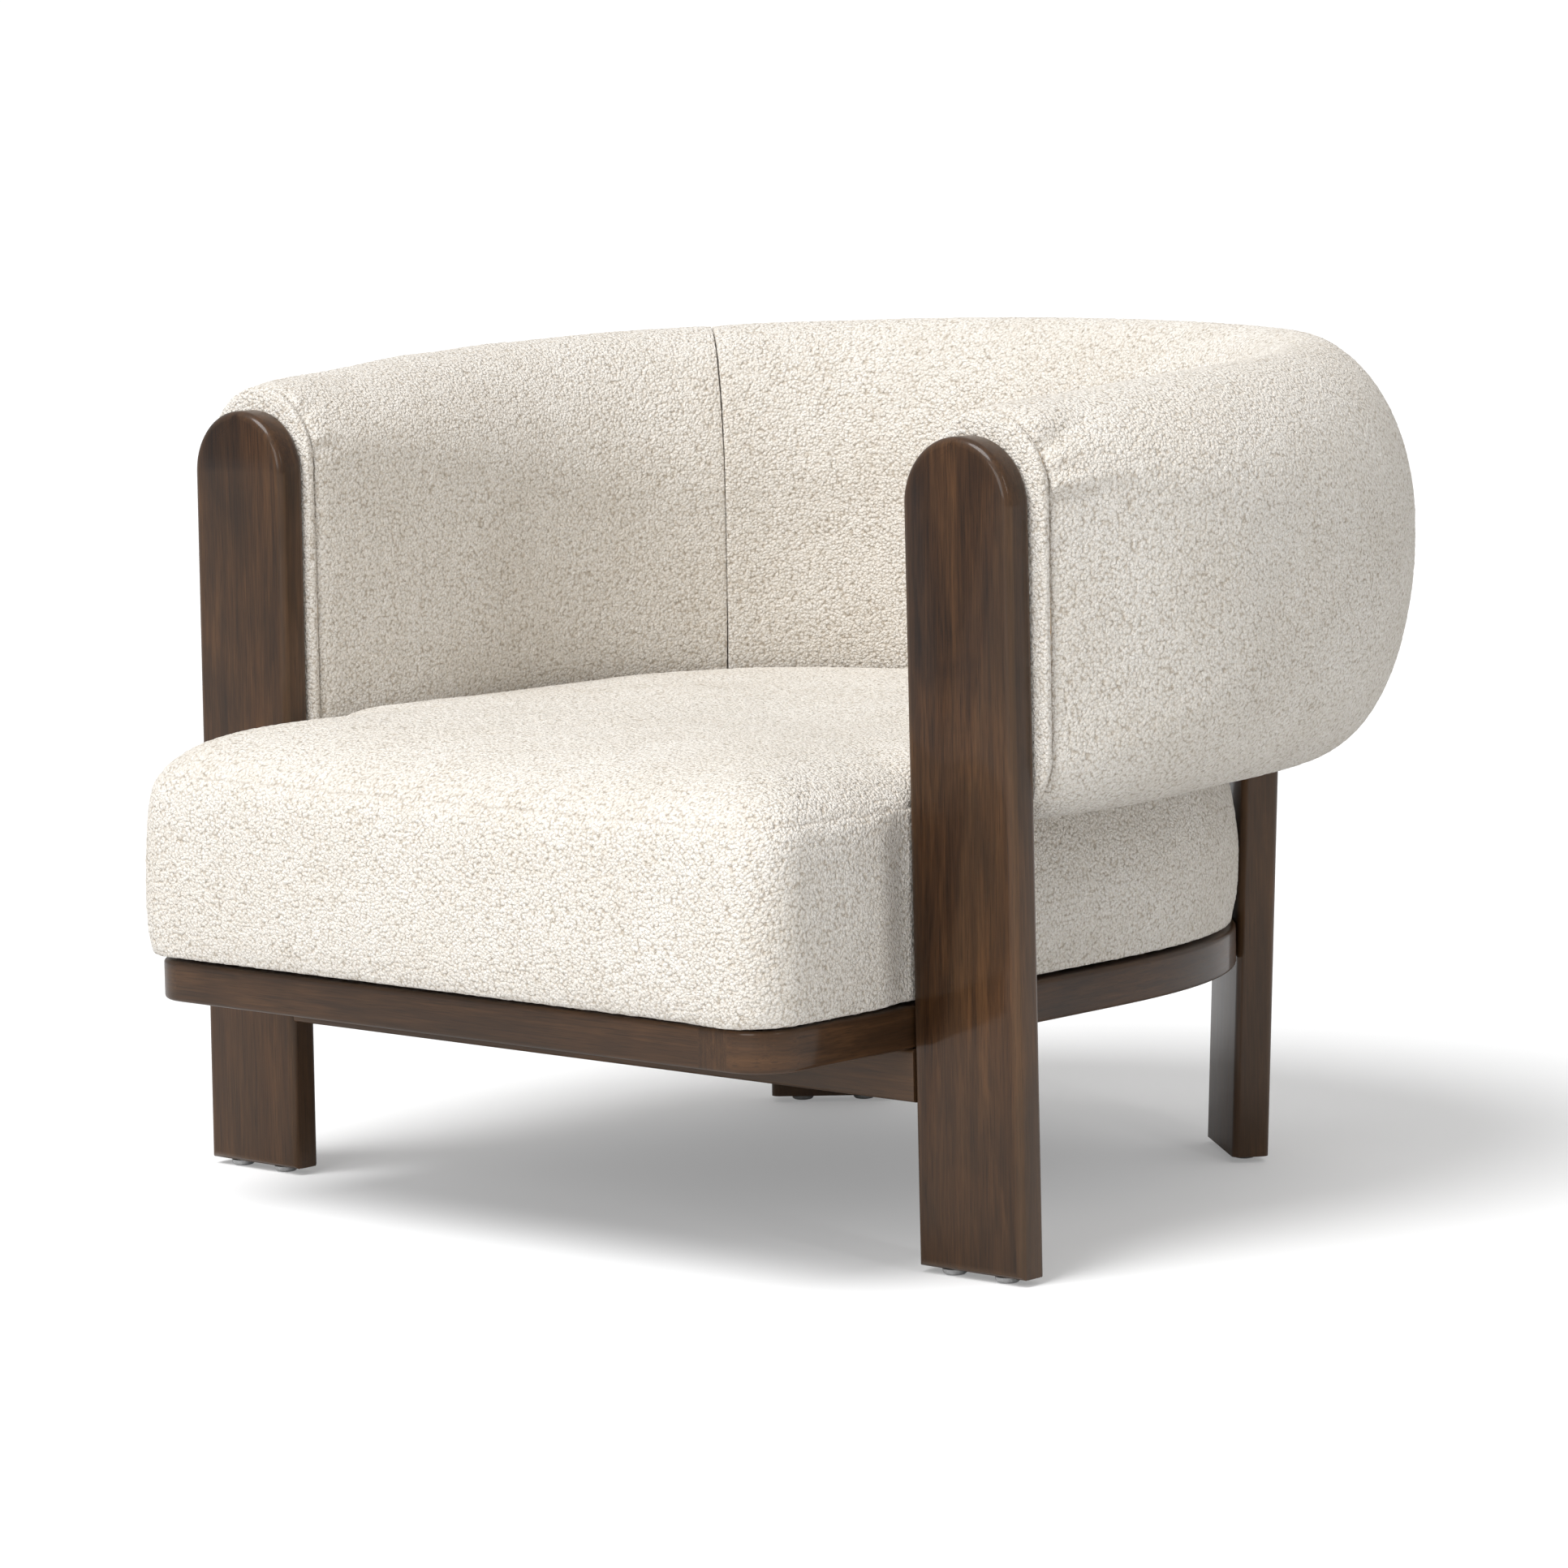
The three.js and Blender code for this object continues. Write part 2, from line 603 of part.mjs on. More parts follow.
function armPanel() {
  const y0 = BAND_START + GAP;
  const holes = ARM_BOLTS.map((b) => boltHole(b.seat, b.direction, b.length));
  return cut(standing(endOutline(COVER + 2), y0, y0 + PANEL_THICK, 0), ...holes);
}

function armFacing() {
  const y0 = POST_THICK + GAP;
  const holes = ARM_BOLTS.map((b) => boltHole(b.seat, b.direction, b.length));
  return cut(standing(endOutline(1), y0, y0 + FACING_THICK, 2), ...holes);
}

const RAIL_THICK = 22;
const LOWER_RAIL = { z0: 396, z1: 431, inwards: 6 };
const UPPER_RAIL = { z0: 553, z1: 588, inwards: 0 };

function innerRail(run0, run1, rail, steps) {
  const [near, far] = [rail.inwards - RAIL_THICK / 2, rail.inwards + RAIL_THICK / 2];
  return board(bandMiddle, run0, run1, near, far, rail.z0, rail.z1, steps);
}

function backLowerRail() {
  const slot = legSlab(GAP);
  return cut(innerRail(-armEnd + 0.001, armEnd - 0.001, LOWER_RAIL, 12), slot, mirrored(slot));
}

function upright(run) {
  const half = 0.012;
  return board(bandMiddle, run - half, run + half, -9, 9, LOWER_RAIL.z1 + GAP, UPPER_RAIL.z0 - GAP, 1);
}

// ---------- assembly ----------
const chair = new THREE.Group();
chair.position.y = -FRAME_CENTRE_Y;

function add(name, geometry, material) {
  const mesh = new THREE.Mesh(closed(geometry), material);
  mesh.name = name;
  chair.add(mesh);
}

function addPair(name, geometry, material) {
  add(`${name}_right`, geometry, material);
  add(`${name}_left`, mirrored(geometry), material);
}

addPair("front_post", frontPost(), walnut);
addPair("rear_leg", rearLeg(), walnut);
add("front_cross_rail", crossRail(), walnut);
add("ring_front", ringFront(), walnut);
addPair("ring_side", ringSide(), walnut);
addPair("ring_corner", ringCorner(), walnut);
add("ring_back", ringBoard(-RING_BACK_RUN, RING_BACK_RUN, 6), walnut);
addPair("corner_block", cornerBlock(), plywood);

[-50, 60, 170, 280, 390].forEach((y, i) => add(`seat_web_${i + 1}`, webStrap(y), webbing));
add("dust_cover", liningSheet(), lining);
add("seat_foam", seatFoam(), foam);
add("seat_cover", seatCover(), boucle);

addPair("arm_panel", armPanel(), plywood);
addPair("arm_lower_rail", innerRail(armEnd + 0.001, railStart, LOWER_RAIL, 5), plywood);
addPair("arm_upper_rail", innerRail(armEnd + 0.001, railStart, UPPER_RAIL, 5), plywood);
add("back_lower_rail", backLowerRail(), plywood);
add("back_upper_rail", innerRail(-armEnd + 0.001, armEnd - 0.001, UPPER_RAIL, 12), plywood);
addPair("arm_upright", upright(0.75), plywood);
addPair("back_upright", upright(0.2), plywood);
addPair("arm_foam", bandSleeve(foamStations, COVER + FOAM_GAP, FOAM_DEPTH), foam);
add("back_foam", backSleeve(COVER + FOAM_GAP, FOAM_DEPTH), foam);
addPair("arm_facing", armFacing(), boucle);
addPair("arm_cover", bandSleeve(armStations, 0, COVER), boucle);
add("back_cover", backSleeve(0, COVER), boucle);

addPair("ring_bolt", makeBolt(RING_BOLT), steel);
ARM_BOLTS.forEach((spec, i) => addPair(`arm_bolt_${i + 1}`, makeBolt(spec), steel));
LEG_BOLTS.forEach((spec, i) => addPair(`leg_bolt_${i + 1}`, makeBolt(spec), steel));

[-0.25, 0.25].forEach((share, i) => {
  const x = postX(GLIDE_HEIGHT) + share * POST_WIDTH;
  addPair(`front_glide_${i + 1}`, glide(x, POST_THICK / 2), plastic);
  const foot = legFootPoint(share * LEG_WIDTH);
  addPair(`rear_glide_${i + 1}`, glide(foot.x, foot.y), plastic);
});

export default chair;
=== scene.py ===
import math

import bmesh
import bpy
import numpy as np
from mathutils import Matrix, Vector


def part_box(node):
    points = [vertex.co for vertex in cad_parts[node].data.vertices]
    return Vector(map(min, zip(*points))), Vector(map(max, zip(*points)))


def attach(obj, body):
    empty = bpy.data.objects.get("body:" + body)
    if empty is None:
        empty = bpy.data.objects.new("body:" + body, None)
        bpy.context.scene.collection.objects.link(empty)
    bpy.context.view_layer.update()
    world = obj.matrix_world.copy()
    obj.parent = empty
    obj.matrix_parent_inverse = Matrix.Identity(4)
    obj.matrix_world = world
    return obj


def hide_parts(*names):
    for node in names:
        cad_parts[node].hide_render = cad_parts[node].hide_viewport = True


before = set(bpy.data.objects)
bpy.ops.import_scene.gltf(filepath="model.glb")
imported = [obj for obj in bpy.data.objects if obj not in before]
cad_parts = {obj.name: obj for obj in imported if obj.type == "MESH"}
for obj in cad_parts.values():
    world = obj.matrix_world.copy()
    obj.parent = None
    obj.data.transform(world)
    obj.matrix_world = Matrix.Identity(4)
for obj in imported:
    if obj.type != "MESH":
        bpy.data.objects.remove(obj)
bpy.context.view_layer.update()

# ---------- driving dimensions ----------
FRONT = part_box("front_post_right")[0].y  # the posts' front faces
POST_LOW, POST_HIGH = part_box("front_post_right")
POST_THICK = POST_HIGH.y - POST_LOW.y
POST_WIDTH = 0.101
POST_AXIS = 0.377  # x of a post's axis at its top
POST_SPLAY = 0.0075
POST_ROUND = 0.0065
POST_TOP = POST_HIGH.z
WOOD_START = POST_LOW.z

RING_LOW, RING_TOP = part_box("ring_back")[0].z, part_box("ring_back")[1].z
RING_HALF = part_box("ring_side_right")[1].x
RING_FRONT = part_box("ring_front")[0].y
RING_WIDTH = 0.045
RING_CORNER = 0.038
RING_BACK = 0.349
RING_POWER = 2.5
BEND = FRONT + 0.230  # the sides are straight in front of this and curve behind it

LEG_WIDTH, LEG_THICK = 0.106, 0.030
LEG_FACING = math.radians(49.4)
LEG_OFFSET, LEG_SIDEWAYS = 0.5398, -0.1817
LEG_RAKE = math.radians(2.05)
LEG_TOP = 0.465

SEAT_CROWN = 0.386
SEAT_MIDDLE = FRONT + 0.200
BAND_START = FRONT + POST_THICK + 0.0092
STRAIGHT_RUN = 0.3
SEAM_ANGLE = 41.0
SEAT_COLUMNS, PAD_COLUMNS, FACING_COLUMNS = 520, 184, 240  # mesh points once round each padded piece
PILE_HEIGHT = 0.0006
INNER = {"front": 0.322, "side": 0.312, "back": 0.332, "power": 2.5}
OUTER = {"front": 0.440, "side": 0.486, "back": 0.461, "power": 2.4}

TINY = 1e-5
WHITE, BLACK = (1.0, 1.0, 1.0), (0.0, 0.0, 0.0)


# ---------- small helpers ----------
def deselect():
    if bpy.context.object and bpy.context.object.mode != "OBJECT":
        bpy.ops.object.mode_set(mode="OBJECT")
    bpy.ops.object.select_all(action="DESELECT")


def take(piece):
    deselect()
    piece.select_set(True)
    bpy.context.view_layer.objects.active = piece


def pick(piece, kind, test):
    """In edit mode, selects the vertices, edges or faces whose place passes a test."""
    bpy.ops.mesh.select_mode(type=kind)
    bpy.ops.mesh.select_all(action="DESELECT")
    shape = bmesh.from_edit_mesh(piece.data)
    for part in {"VERT": shape.verts, "EDGE": shape.edges, "FACE": shape.faces}[kind]:
        part.select_set(bool(test(part)))
    shape.select_flush_mode()
    bmesh.update_edit_mesh(piece.data)


def coords(piece):
    flat = np.zeros(len(piece.data.vertices) * 3)
    piece.data.vertices.foreach_get("co", flat)
    return flat.reshape(-1, 3)


def place(piece, points):
    piece.data.vertices.foreach_set("co", np.asarray(points, np.float32).ravel())
    piece.data.update()


def block(name, low, high):
    """A box between two corners, as an object at the origin."""
    deselect()
    low, high = Vector(low), Vector(high)
    bpy.ops.mesh.primitive_cube_add(size=1, location=(low + high) / 2)
    piece = bpy.context.object
    piece.scale = high - low
    bpy.ops.object.transform_apply(location=True, rotation=True, scale=True)
    piece.name = name
    return piece


def bevel_edges(piece, test, width, segments):
    take(piece)
    bpy.ops.object.mode_set(mode="EDIT")
    pick(piece, "EDGE", test)
    bpy.ops.mesh.bevel(offset=width, segments=segments, affect="EDGES", clamp_overlap=True)
    bpy.ops.mesh.select_all(action="SELECT")
    bpy.ops.mesh.remove_doubles(threshold=0.00002)
    bpy.ops.mesh.normals_make_consistent(inside=False)
    bpy.ops.object.mode_set(mode="OBJECT")


def made(piece, material, slot, *nodes):
    """Gives a finished piece its material and its place on the body. The slot argument is not used."""
    piece.data.materials.clear()
    piece.data.materials.append(material)
    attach(piece, "root")
    if nodes:
        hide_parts(*nodes)
    return piece


def flip_side(piece):
    """Mirrors a piece to the other side of the chair, with its faces still pointing out."""
    place(piece, coords(piece) * np.array([-1, 1, 1]))
    take(piece)
    bpy.ops.object.mode_set(mode="EDIT")
    bpy.ops.mesh.select_all(action="SELECT")
    bpy.ops.mesh.flip_normals()
    bpy.ops.object.mode_set(mode="OBJECT")


def point_values(piece, name, kind, values):
    """Stores one value or vector per vertex, for the materials to read."""
    layer = piece.data.attributes.get(name) or piece.data.attributes.new(name, kind, "POINT")
    field = "vector" if kind == "FLOAT_VECTOR" else "value"
    layer.data.foreach_set(field, np.asarray(values, np.float32).ravel())


def smoothed(t):
    t = np.clip(t, 0.0, 1.0)
    return t * t * (3 - 2 * t)


# ---------- noise that is the same each run ----------
def hashed(cells, seed):
    """One number from 0 to 1 for each whole-number cell."""
    a = (cells[..., 0] * 73856093) ^ (cells[..., 1] * 19349663)
    a = a ^ (cells[..., 2] * 83492791) ^ (seed * 2654435761)
    a = (a ^ (a >> 13)) * 1274126177
    a = (a ^ (a >> 16)) & 0xFFFFFF
    return a / float(0xFFFFFF)


def lumps(points, size, seed):
    """Smooth noise from -1 to 1 with features of a size."""
    p = points / size
    base = np.floor(p).astype(np.int64)
    f = p - base
    f = f * f * (3 - 2 * f)
    total = 0
    for i in (0, 1):
        for j in (0, 1):
            for k in (0, 1):
                corner = np.array([i, j, k])
                w = np.where(corner == 1, f, 1 - f)
                total = total + w[..., 0] * w[..., 1] * w[..., 2] * hashed(base + corner, seed)
    return total * 2 - 1


def loops(points, size, seed):
    """Round nubs of a size: 1 on the middle of each nub, falling to 0 in the gaps."""
    p = points / size
    base = np.floor(p).astype(np.int64)
    nearest = np.full(p.shape[:-1], 9.0)
    for i in (-1, 0, 1):
        for j in (-1, 0, 1):
            for k in (-1, 0, 1):
                cell = base + np.array([i, j, k])
                spot = cell + np.stack([hashed(cell, seed + n) for n in (1, 2, 3)], -1)
                nearest = np.minimum(nearest, ((p - spot) ** 2).sum(-1))
    return np.clip(1 - np.sqrt(nearest), 0, 1)


# ---------- materials ----------
def new_material(name):
    material = bpy.data.materials.new(name)
    material.use_nodes = True
    tree = material.node_tree
    return material, tree, tree.nodes["Principled BSDF"]


def add_node(tree, kind, inputs=None, **settings):
    node = tree.nodes.new(kind)
    for key, value in settings.items():
        setattr(node, key, value)
    for key, value in (inputs or {}).items():
        if isinstance(value, bpy.types.NodeSocket):
            tree.links.new(value, node.inputs[key])
        else:
            node.inputs[key].default_value = value
    return node


def ramp(tree, source, stops):
    node = add_node(tree, "ShaderNodeValToRGB", {"Fac": source})
    row = node.color_ramp.elements
    while len(row) > 1:
        row.remove(row[-1])
    row[0].position, row[0].color = stops[0][0], (*stops[0][1], 1)
    for spot, colour in stops[1:]:
        row.new(spot).color = (*colour, 1)
    return node.outputs["Color"]


def mixed(tree, factor, a, b, blend="MIX"):
    node = add_node(tree, "ShaderNodeMix", data_type="RGBA", blend_type=blend)
    for socket, value in ((node.inputs[0], factor), (node.inputs[6], a), (node.inputs[7], b)):
        if isinstance(value, bpy.types.NodeSocket):
            tree.links.new(value, socket)
        else:
            socket.default_value = value if isinstance(value, float) else (*value, 1)
    return node.outputs[2]


def spread(tree, source, low, high):
    """Maps 0 to 1 onto a range."""
    node = add_node(tree, "ShaderNodeMapRange", {"Value": source, "To Min": low, "To Max": high})
    return node.outputs["Result"]


def maths(tree, operation, a, b=0.0):
    return add_node(tree, "ShaderNodeMath", {0: a, 1: b}, operation=operation).outputs[0]


def stained_walnut():
    """Satin walnut stain over a fine straight grain that follows each piece's own length."""
    material, tree, shader = new_material("stained_walnut")
    grain = add_node(tree, "ShaderNodeAttribute", attribute_name="grain").outputs["Vector"]

    def stretched(across, along):
        inputs = {"Vector": grain, "Scale": (across, along, across)}
        return add_node(tree, "ShaderNodeMapping", inputs).outputs[0]

    def noise(vector, scale, detail=3.0, rough=0.55, distortion=0.0):
        inputs = {"Vector": vector, "Scale": scale, "Detail": detail, "Roughness": rough}
        inputs["Distortion"] = distortion
        return add_node(tree, "ShaderNodeTexNoise", inputs).outputs["Fac"]

    fibres = noise(stretched(1, 0.035), 620.0, 3.0, 0.6)
    streaks = noise(stretched(1, 0.07), 85.0, 4.0, 0.6, 0.6)
    figure = noise(stretched(1, 0.45), 13.0, 4.0, 0.55, 0.9)
    pores = noise(stretched(1, 0.02), 1500.0, 1.0, 0.5)
    stain = [(0.28, (0.024, 0.0100, 0.0038)), (0.5, (0.043, 0.0185, 0.0066)), (0.72, (0.068, 0.0310, 0.0115))]
    base = ramp(tree, streaks, stain)
    mottle = [(0.3, (0.52, 0.50, 0.50)), (0.52, WHITE), (0.75, (1.42, 1.34, 1.22))]
    patches = ramp(tree, figure, mottle)
    tone = mixed(tree, 1.0, base, patches, "MULTIPLY")
    thread = ramp(tree, fibres, [(0.3, (0.52, 0.50, 0.48)), (0.64, (1.22, 1.20, 1.18))])
    tone = mixed(tree, 0.85, tone, thread, "MULTIPLY")
    pits = ramp(tree, pores, [(0.32, (0.34, 0.32, 0.30)), (0.40, WHITE)])
    tone = mixed(tree, 0.7, tone, pits, "MULTIPLY")
    # Rounded edges are made lighter in the colour: partly wear, partly a painted highlight along the edges.
    edge = add_node(tree, "ShaderNodeNewGeometry").outputs["Pointiness"]
    worn_and_highlit_edges = ramp(tree, edge, [(0.50, BLACK), (0.56, WHITE)])
    tone = mixed(tree, maths(tree, "MULTIPLY", worn_and_highlit_edges, 0.25), tone, (0.19, 0.115, 0.065))
    tree.links.new(tone, shader.inputs["Base Color"])
    tree.links.new(spread(tree, fibres, 0.34, 0.50), shader.inputs["Roughness"])
    relief = maths(tree, "ADD", maths(tree, "MULTIPLY", fibres, 0.6), maths(tree, "MULTIPLY", pores, 0.4))
    bump = add_node(tree, "ShaderNodeBump", {"Height": relief, "Strength": 0.12, "Distance": 0.0005})
    tree.links.new(bump.outputs[0], shader.inputs["Normal"])
    shader.inputs["Specular IOR Level"].default_value = 0.15
    shader.inputs["Coat Weight"].default_value = 0.36
    shader.inputs["Coat Roughness"].default_value = 0.11
    return material


def boucle():
    """Cream boucle: crowded looped nubs that catch the light, with painted shade in the small gaps between
    them, in the hollows of the finer curls and along the seat's seam.
    """
    material, tree, shader = new_material("cream_boucle")
    place_on = add_node(tree, "ShaderNodeTexCoord").outputs["Object"]
    wobble = add_node(tree, "ShaderNodeTexNoise", {"Vector": place_on, "Scale": 300.0, "Detail": 2.0})
    shifted = mixed(tree, 0.0016, place_on, wobble.outputs["Color"])
    nubs = add_node(tree, "ShaderNodeTexVoronoi", {"Vector": shifted, "Scale": 410.0, "Randomness": 1.0})
    curls = add_node(tree, "ShaderNodeTexVoronoi", {"Vector": shifted, "Scale": 950.0, "Randomness": 1.0})
    inputs = {"Vector": place_on, "Scale": 1900.0, "Detail": 2.0, "Roughness": 0.7}
    fine = add_node(tree, "ShaderNodeTexNoise", inputs)
    broad = add_node(tree, "ShaderNodeTexNoise", {"Vector": place_on, "Scale": 14.0, "Detail": 3.0})
    yarn = ramp(tree, fine.outputs["Fac"], [(0.3, (0.84, 0.80, 0.745)), (0.65, (0.92, 0.895, 0.855))])
    # Painted shade: the gaps between the nubs are darkened in the colour.
    shade = [(0.35, WHITE), (0.63, (0.91, 0.89, 0.865)), (0.88, (0.66, 0.61, 0.55))]
    painted_gap_shade = ramp(tree, nubs.outputs["Distance"], shade)
    tone = mixed(tree, 1.0, yarn, painted_gap_shade, "MULTIPLY")
    # Painted shade: the hollows between the finer curls are darkened too.
    painted_hollow_shade = ramp(tree, curls.outputs["Distance"], [(0.30, WHITE), (0.85, (0.84, 0.82, 0.79))])
    tone = mixed(tree, 1.0, tone, painted_hollow_shade, "MULTIPLY")
    each = add_node(tree, "ShaderNodeSeparateColor", {"Color": nubs.outputs["Color"]}).outputs[0]
    range_of_nubs = [(0.0, (0.92, 0.905, 0.88)), (0.3, (0.985, 0.98, 0.97)), (1.0, (1.04, 1.04, 1.04))]
    own = ramp(tree, each, range_of_nubs)
    tone = mixed(tree, 1.0, tone, own, "MULTIPLY")
    cloud = ramp(tree, broad.outputs["Fac"], [(0.35, (0.97, 0.96, 0.945)), (0.65, (1.02, 1.02, 1.02))])
    tone = mixed(tree, 1.0, tone, cloud, "MULTIPLY")
    # Painted shade: the colour darkens along the seat's seam valley, by a per-vertex attribute.
    painted_seam_shade = add_node(tree, "ShaderNodeAttribute", attribute_name="painted_seam_shade").outputs["Fac"]
    tone = mixed(tree, maths(tree, "MULTIPLY", painted_seam_shade, 0.55), tone, (0.36, 0.30, 0.24))
    tree.links.new(tone, shader.inputs["Base Color"])
    shader.inputs["Roughness"].default_value = 0.92
    shader.inputs["Specular IOR Level"].default_value = 0.14
    shader.inputs["Sheen Weight"].default_value = 0.18
    shader.inputs["Sheen Roughness"].default_value = 0.5
    shader.inputs["Sheen Tint"].default_value = (1.0, 0.98, 0.95, 1.0)
    mound = maths(tree, "SUBTRACT", 1.0, maths(tree, "POWER", nubs.outputs["Distance"], 1.5))
    small = maths(tree, "MULTIPLY", curls.outputs["Distance"], -0.34)
    fuzz = maths(tree, "MULTIPLY", fine.outputs["Fac"], 0.2)
    relief = maths(tree, "ADD", maths(tree, "ADD", mound, small), fuzz)
    bump = add_node(tree, "ShaderNodeBump", {"Height": relief, "Strength": 1.0, "Distance": 0.0021})
    tree.links.new(bump.outputs[0], shader.inputs["Normal"])
    return material


def plain_kind(name, colour, second, scale, rough, bump_size, stretch=(1, 1, 1), metal=0.0):
    """A small hidden piece's material: two tones in a noise of a scale, with a matching relief."""
    material, tree, shader = new_material(name)
    where = add_node(tree, "ShaderNodeTexCoord").outputs["Object"]
    turned = add_node(tree, "ShaderNodeMapping", {"Vector": where, "Scale": stretch}).outputs[0]
    noise = add_node(tree, "ShaderNodeTexNoise", {"Vector": turned, "Scale": scale, "Detail": 4.0})
    tone = ramp(tree, noise.outputs["Fac"], [(0.35, colour), (0.65, second)])
    tree.links.new(tone, shader.inputs["Base Color"])
    roughness = spread(tree, noise.outputs["Fac"], rough - 0.08, rough + 0.08)
    tree.links.new(roughness, shader.inputs["Roughness"])
    inputs = {"Height": noise.outputs["Fac"], "Strength": 0.4, "Distance": bump_size}
    bump = add_node(tree, "ShaderNodeBump", inputs)
    tree.links.new(bump.outputs[0], shader.inputs["Normal"])
    shader.inputs["Metallic"].default_value = metal
    return material


WALNUT = stained_walnut()
BOUCLE = boucle()

birch = ((0.42, 0.27, 0.14), (0.55, 0.38, 0.21))
strap = ((0.10, 0.075, 0.055), (0.17, 0.13, 0.10))
cloth = ((0.012, 0.012, 0.013), (0.022, 0.022, 0.023))
zinc = ((0.45, 0.45, 0.44), (0.60, 0.60, 0.59))
grey = ((0.30, 0.30, 0.30), (0.40, 0.40, 0.40))
PLYWOOD = plain_kind("birch_plywood", *birch, scale=60.0, rough=0.7, bump_size=0.0003, stretch=(1, 1, 6))
WEBBING = plain_kind("seat_webbing", *strap, scale=700.0, rough=0.85, bump_size=0.0006, stretch=(1, 4, 1))
LINING = plain_kind("black_lining", *cloth, scale=900.0, rough=0.9, bump_size=0.0003)
STEEL = plain_kind("zinc_steel", *zinc, scale=240.0, rough=0.35, bump_size=0.0001, metal=1.0)
GLIDE = plain_kind("grey_glide", *grey, scale=300.0, rough=0.4, bump_size=0.0001)


# ---------- plan curves ----------
def bend_point(side, back, power, angle):
    """A point of the curve behind the bend line: part of a superellipse."""
    c, s = np.cos(angle), np.sin(angle)
    reach = ((np.abs(c) / side) ** power + (np.abs(s) / back) ** power) ** (-1 / power)
    return c * reach, BEND + s * reach


def ring_outline(inside=0.0, corner_steps=10, side_steps=14, back_steps=64):
    """The ring's outline as points, anticlockwise from the right front corner."""
    half, front, corner = RING_HALF - inside, RING_FRONT + inside, max(RING_CORNER - inside, 0.004)
    points = []
    for i in range(corner_steps + 1):
        a = -math.pi / 2 + (math.pi / 2) * i / corner_steps
        points.append((half - corner + corner * math.cos(a), front + corner + corner * math.sin(a)))
    for i in range(1, side_steps):
        points.append((half, front + corner + (BEND - front - corner) * i / side_steps))
    for i in range(back_steps + 1):
        a = math.pi * i / back_steps
        x, y = bend_point(RING_HALF, RING_BACK, RING_POWER, a)
        ahead = np.array(bend_point(RING_HALF, RING_BACK, RING_POWER, a + 1e-4))
        behind = np.array(bend_point(RING_HALF, RING_BACK, RING_POWER, a - 1e-4))
        along = (ahead - behind) / np.linalg.norm(ahead - behind)
        points.append((x - along[1] * inside, y + along[0] * inside))
    for i in range(side_steps - 1, 0, -1):
        points.append((-half, front + corner + (BEND - front - corner) * i / side_steps))
    for i in range(corner_steps + 1):
        a = math.pi + (math.pi / 2) * i / corner_steps
        points.append((-half + corner + corner * math.cos(a), front + corner + corner * math.sin(a)))
    front_steps = 20
    x0 = -half + corner
    for i in range(1, front_steps):
        points.append((x0 + (half - corner - x0) * i / front_steps, front))
    return np.array(points)


OUTLINE = ring_outline(0.0, 16, 40, 240)
STEPS = np.linalg.norm(np.roll(OUTLINE, -1, 0) - OUTLINE, axis=1)
OUTLINE_LENGTH = STEPS.sum()


# ---------- woodwork ----------
def grained(piece, along, across, through, shift):
    """Stores where each vertex lies in its board, moved by a shift so that no two boards look alike."""
    spots = np.stack([across + shift, along + 2.3 * shift, through + 0.7 * shift], -1)
    point_values(piece, "grain", "FLOAT_VECTOR", spots)
    take(piece)
    bpy.ops.object.shade_smooth_by_angle(angle=math.radians(40))
    return piece


def front_post(side, shift):
    """A slab with a round top and soft edges, leaning out a little towards the floor."""
    half = POST_WIDTH / 2
    low = (POST_AXIS - half, POST_LOW.y, WOOD_START)
    piece = block(f"front_post_{side}_wood", low, (POST_AXIS + half, POST_HIGH.y, POST_TOP))
    def top(edge):
        level_end = abs(edge.verts[0].co.x - edge.verts[1].co.x) < TINY
        return level_end and all(v.co.z > POST_TOP - TINY for v in edge.verts)

    bevel_edges(piece, top, half * 0.998, 28)
    faces = (POST_LOW.y, POST_HIGH.y)
    rim = lambda e: any(all(abs(v.co.y - y) < TINY for v in e.verts) for y in faces)
    bevel_edges(piece, rim, POST_ROUND, 6)
    foot = lambda e: all(v.co.z < WOOD_START + TINY for v in e.verts)
    bevel_edges(piece, foot, 0.0015, 2)
    p = coords(piece)
    p[:, 0] += POST_SPLAY * (POST_TOP - p[:, 2])
    place(piece, p)
    if side == "left":
        flip_side(piece)
        p = coords(piece)
    grained(piece, p[:, 2], p[:, 0], p[:, 1], shift)
    return made(piece, WALNUT, "walnut", f"front_post_{side}")


def rear_leg(side, shift):
    """A slab that is turned to face the band's curve, leans back and is cut level at the floor."""
    half = LEG_WIDTH / 2
    piece = block(f"rear_leg_{side}_wood", (-half, 0, -0.012), (half, LEG_THICK, LEG_TOP))
    upright = lambda e: abs(e.verts[0].co.z - e.verts[1].co.z) > 0.1
    bevel_edges(piece, upright, POST_ROUND, 6)
    rake = Matrix.Translation((LEG_SIDEWAYS, LEG_OFFSET, RING_LOW)) @ Matrix.Rotation(-LEG_RAKE, 4, "X")
    rake = Matrix.Rotation(LEG_FACING - math.pi / 2, 4, "Z") @ rake @ Matrix.Translation((0, 0, -RING_LOW))
    piece.data.transform(Matrix.Translation((0, FRONT, 0)) @ rake)
    take(piece)
    bpy.ops.object.mode_set(mode="EDIT")
    bpy.ops.mesh.select_all(action="SELECT")
    bpy.ops.mesh.bisect(plane_co=(0, 0, WOOD_START), plane_no=(0, 0, -1), use_fill=True, clear_outer=True)
    bpy.ops.object.mode_set(mode="OBJECT")
    p = coords(piece)
    if side == "left":
        flip_side(piece)
    across = p[:, 0] * math.sin(LEG_FACING) - p[:, 1] * math.cos(LEG_FACING)
    through = p[:, 0] * math.cos(LEG_FACING) + p[:, 1] * math.sin(LEG_FACING)
    grained(piece, p[:, 2], across, through, shift)
    return made(piece, WALNUT, "walnut", f"rear_leg_{side}")


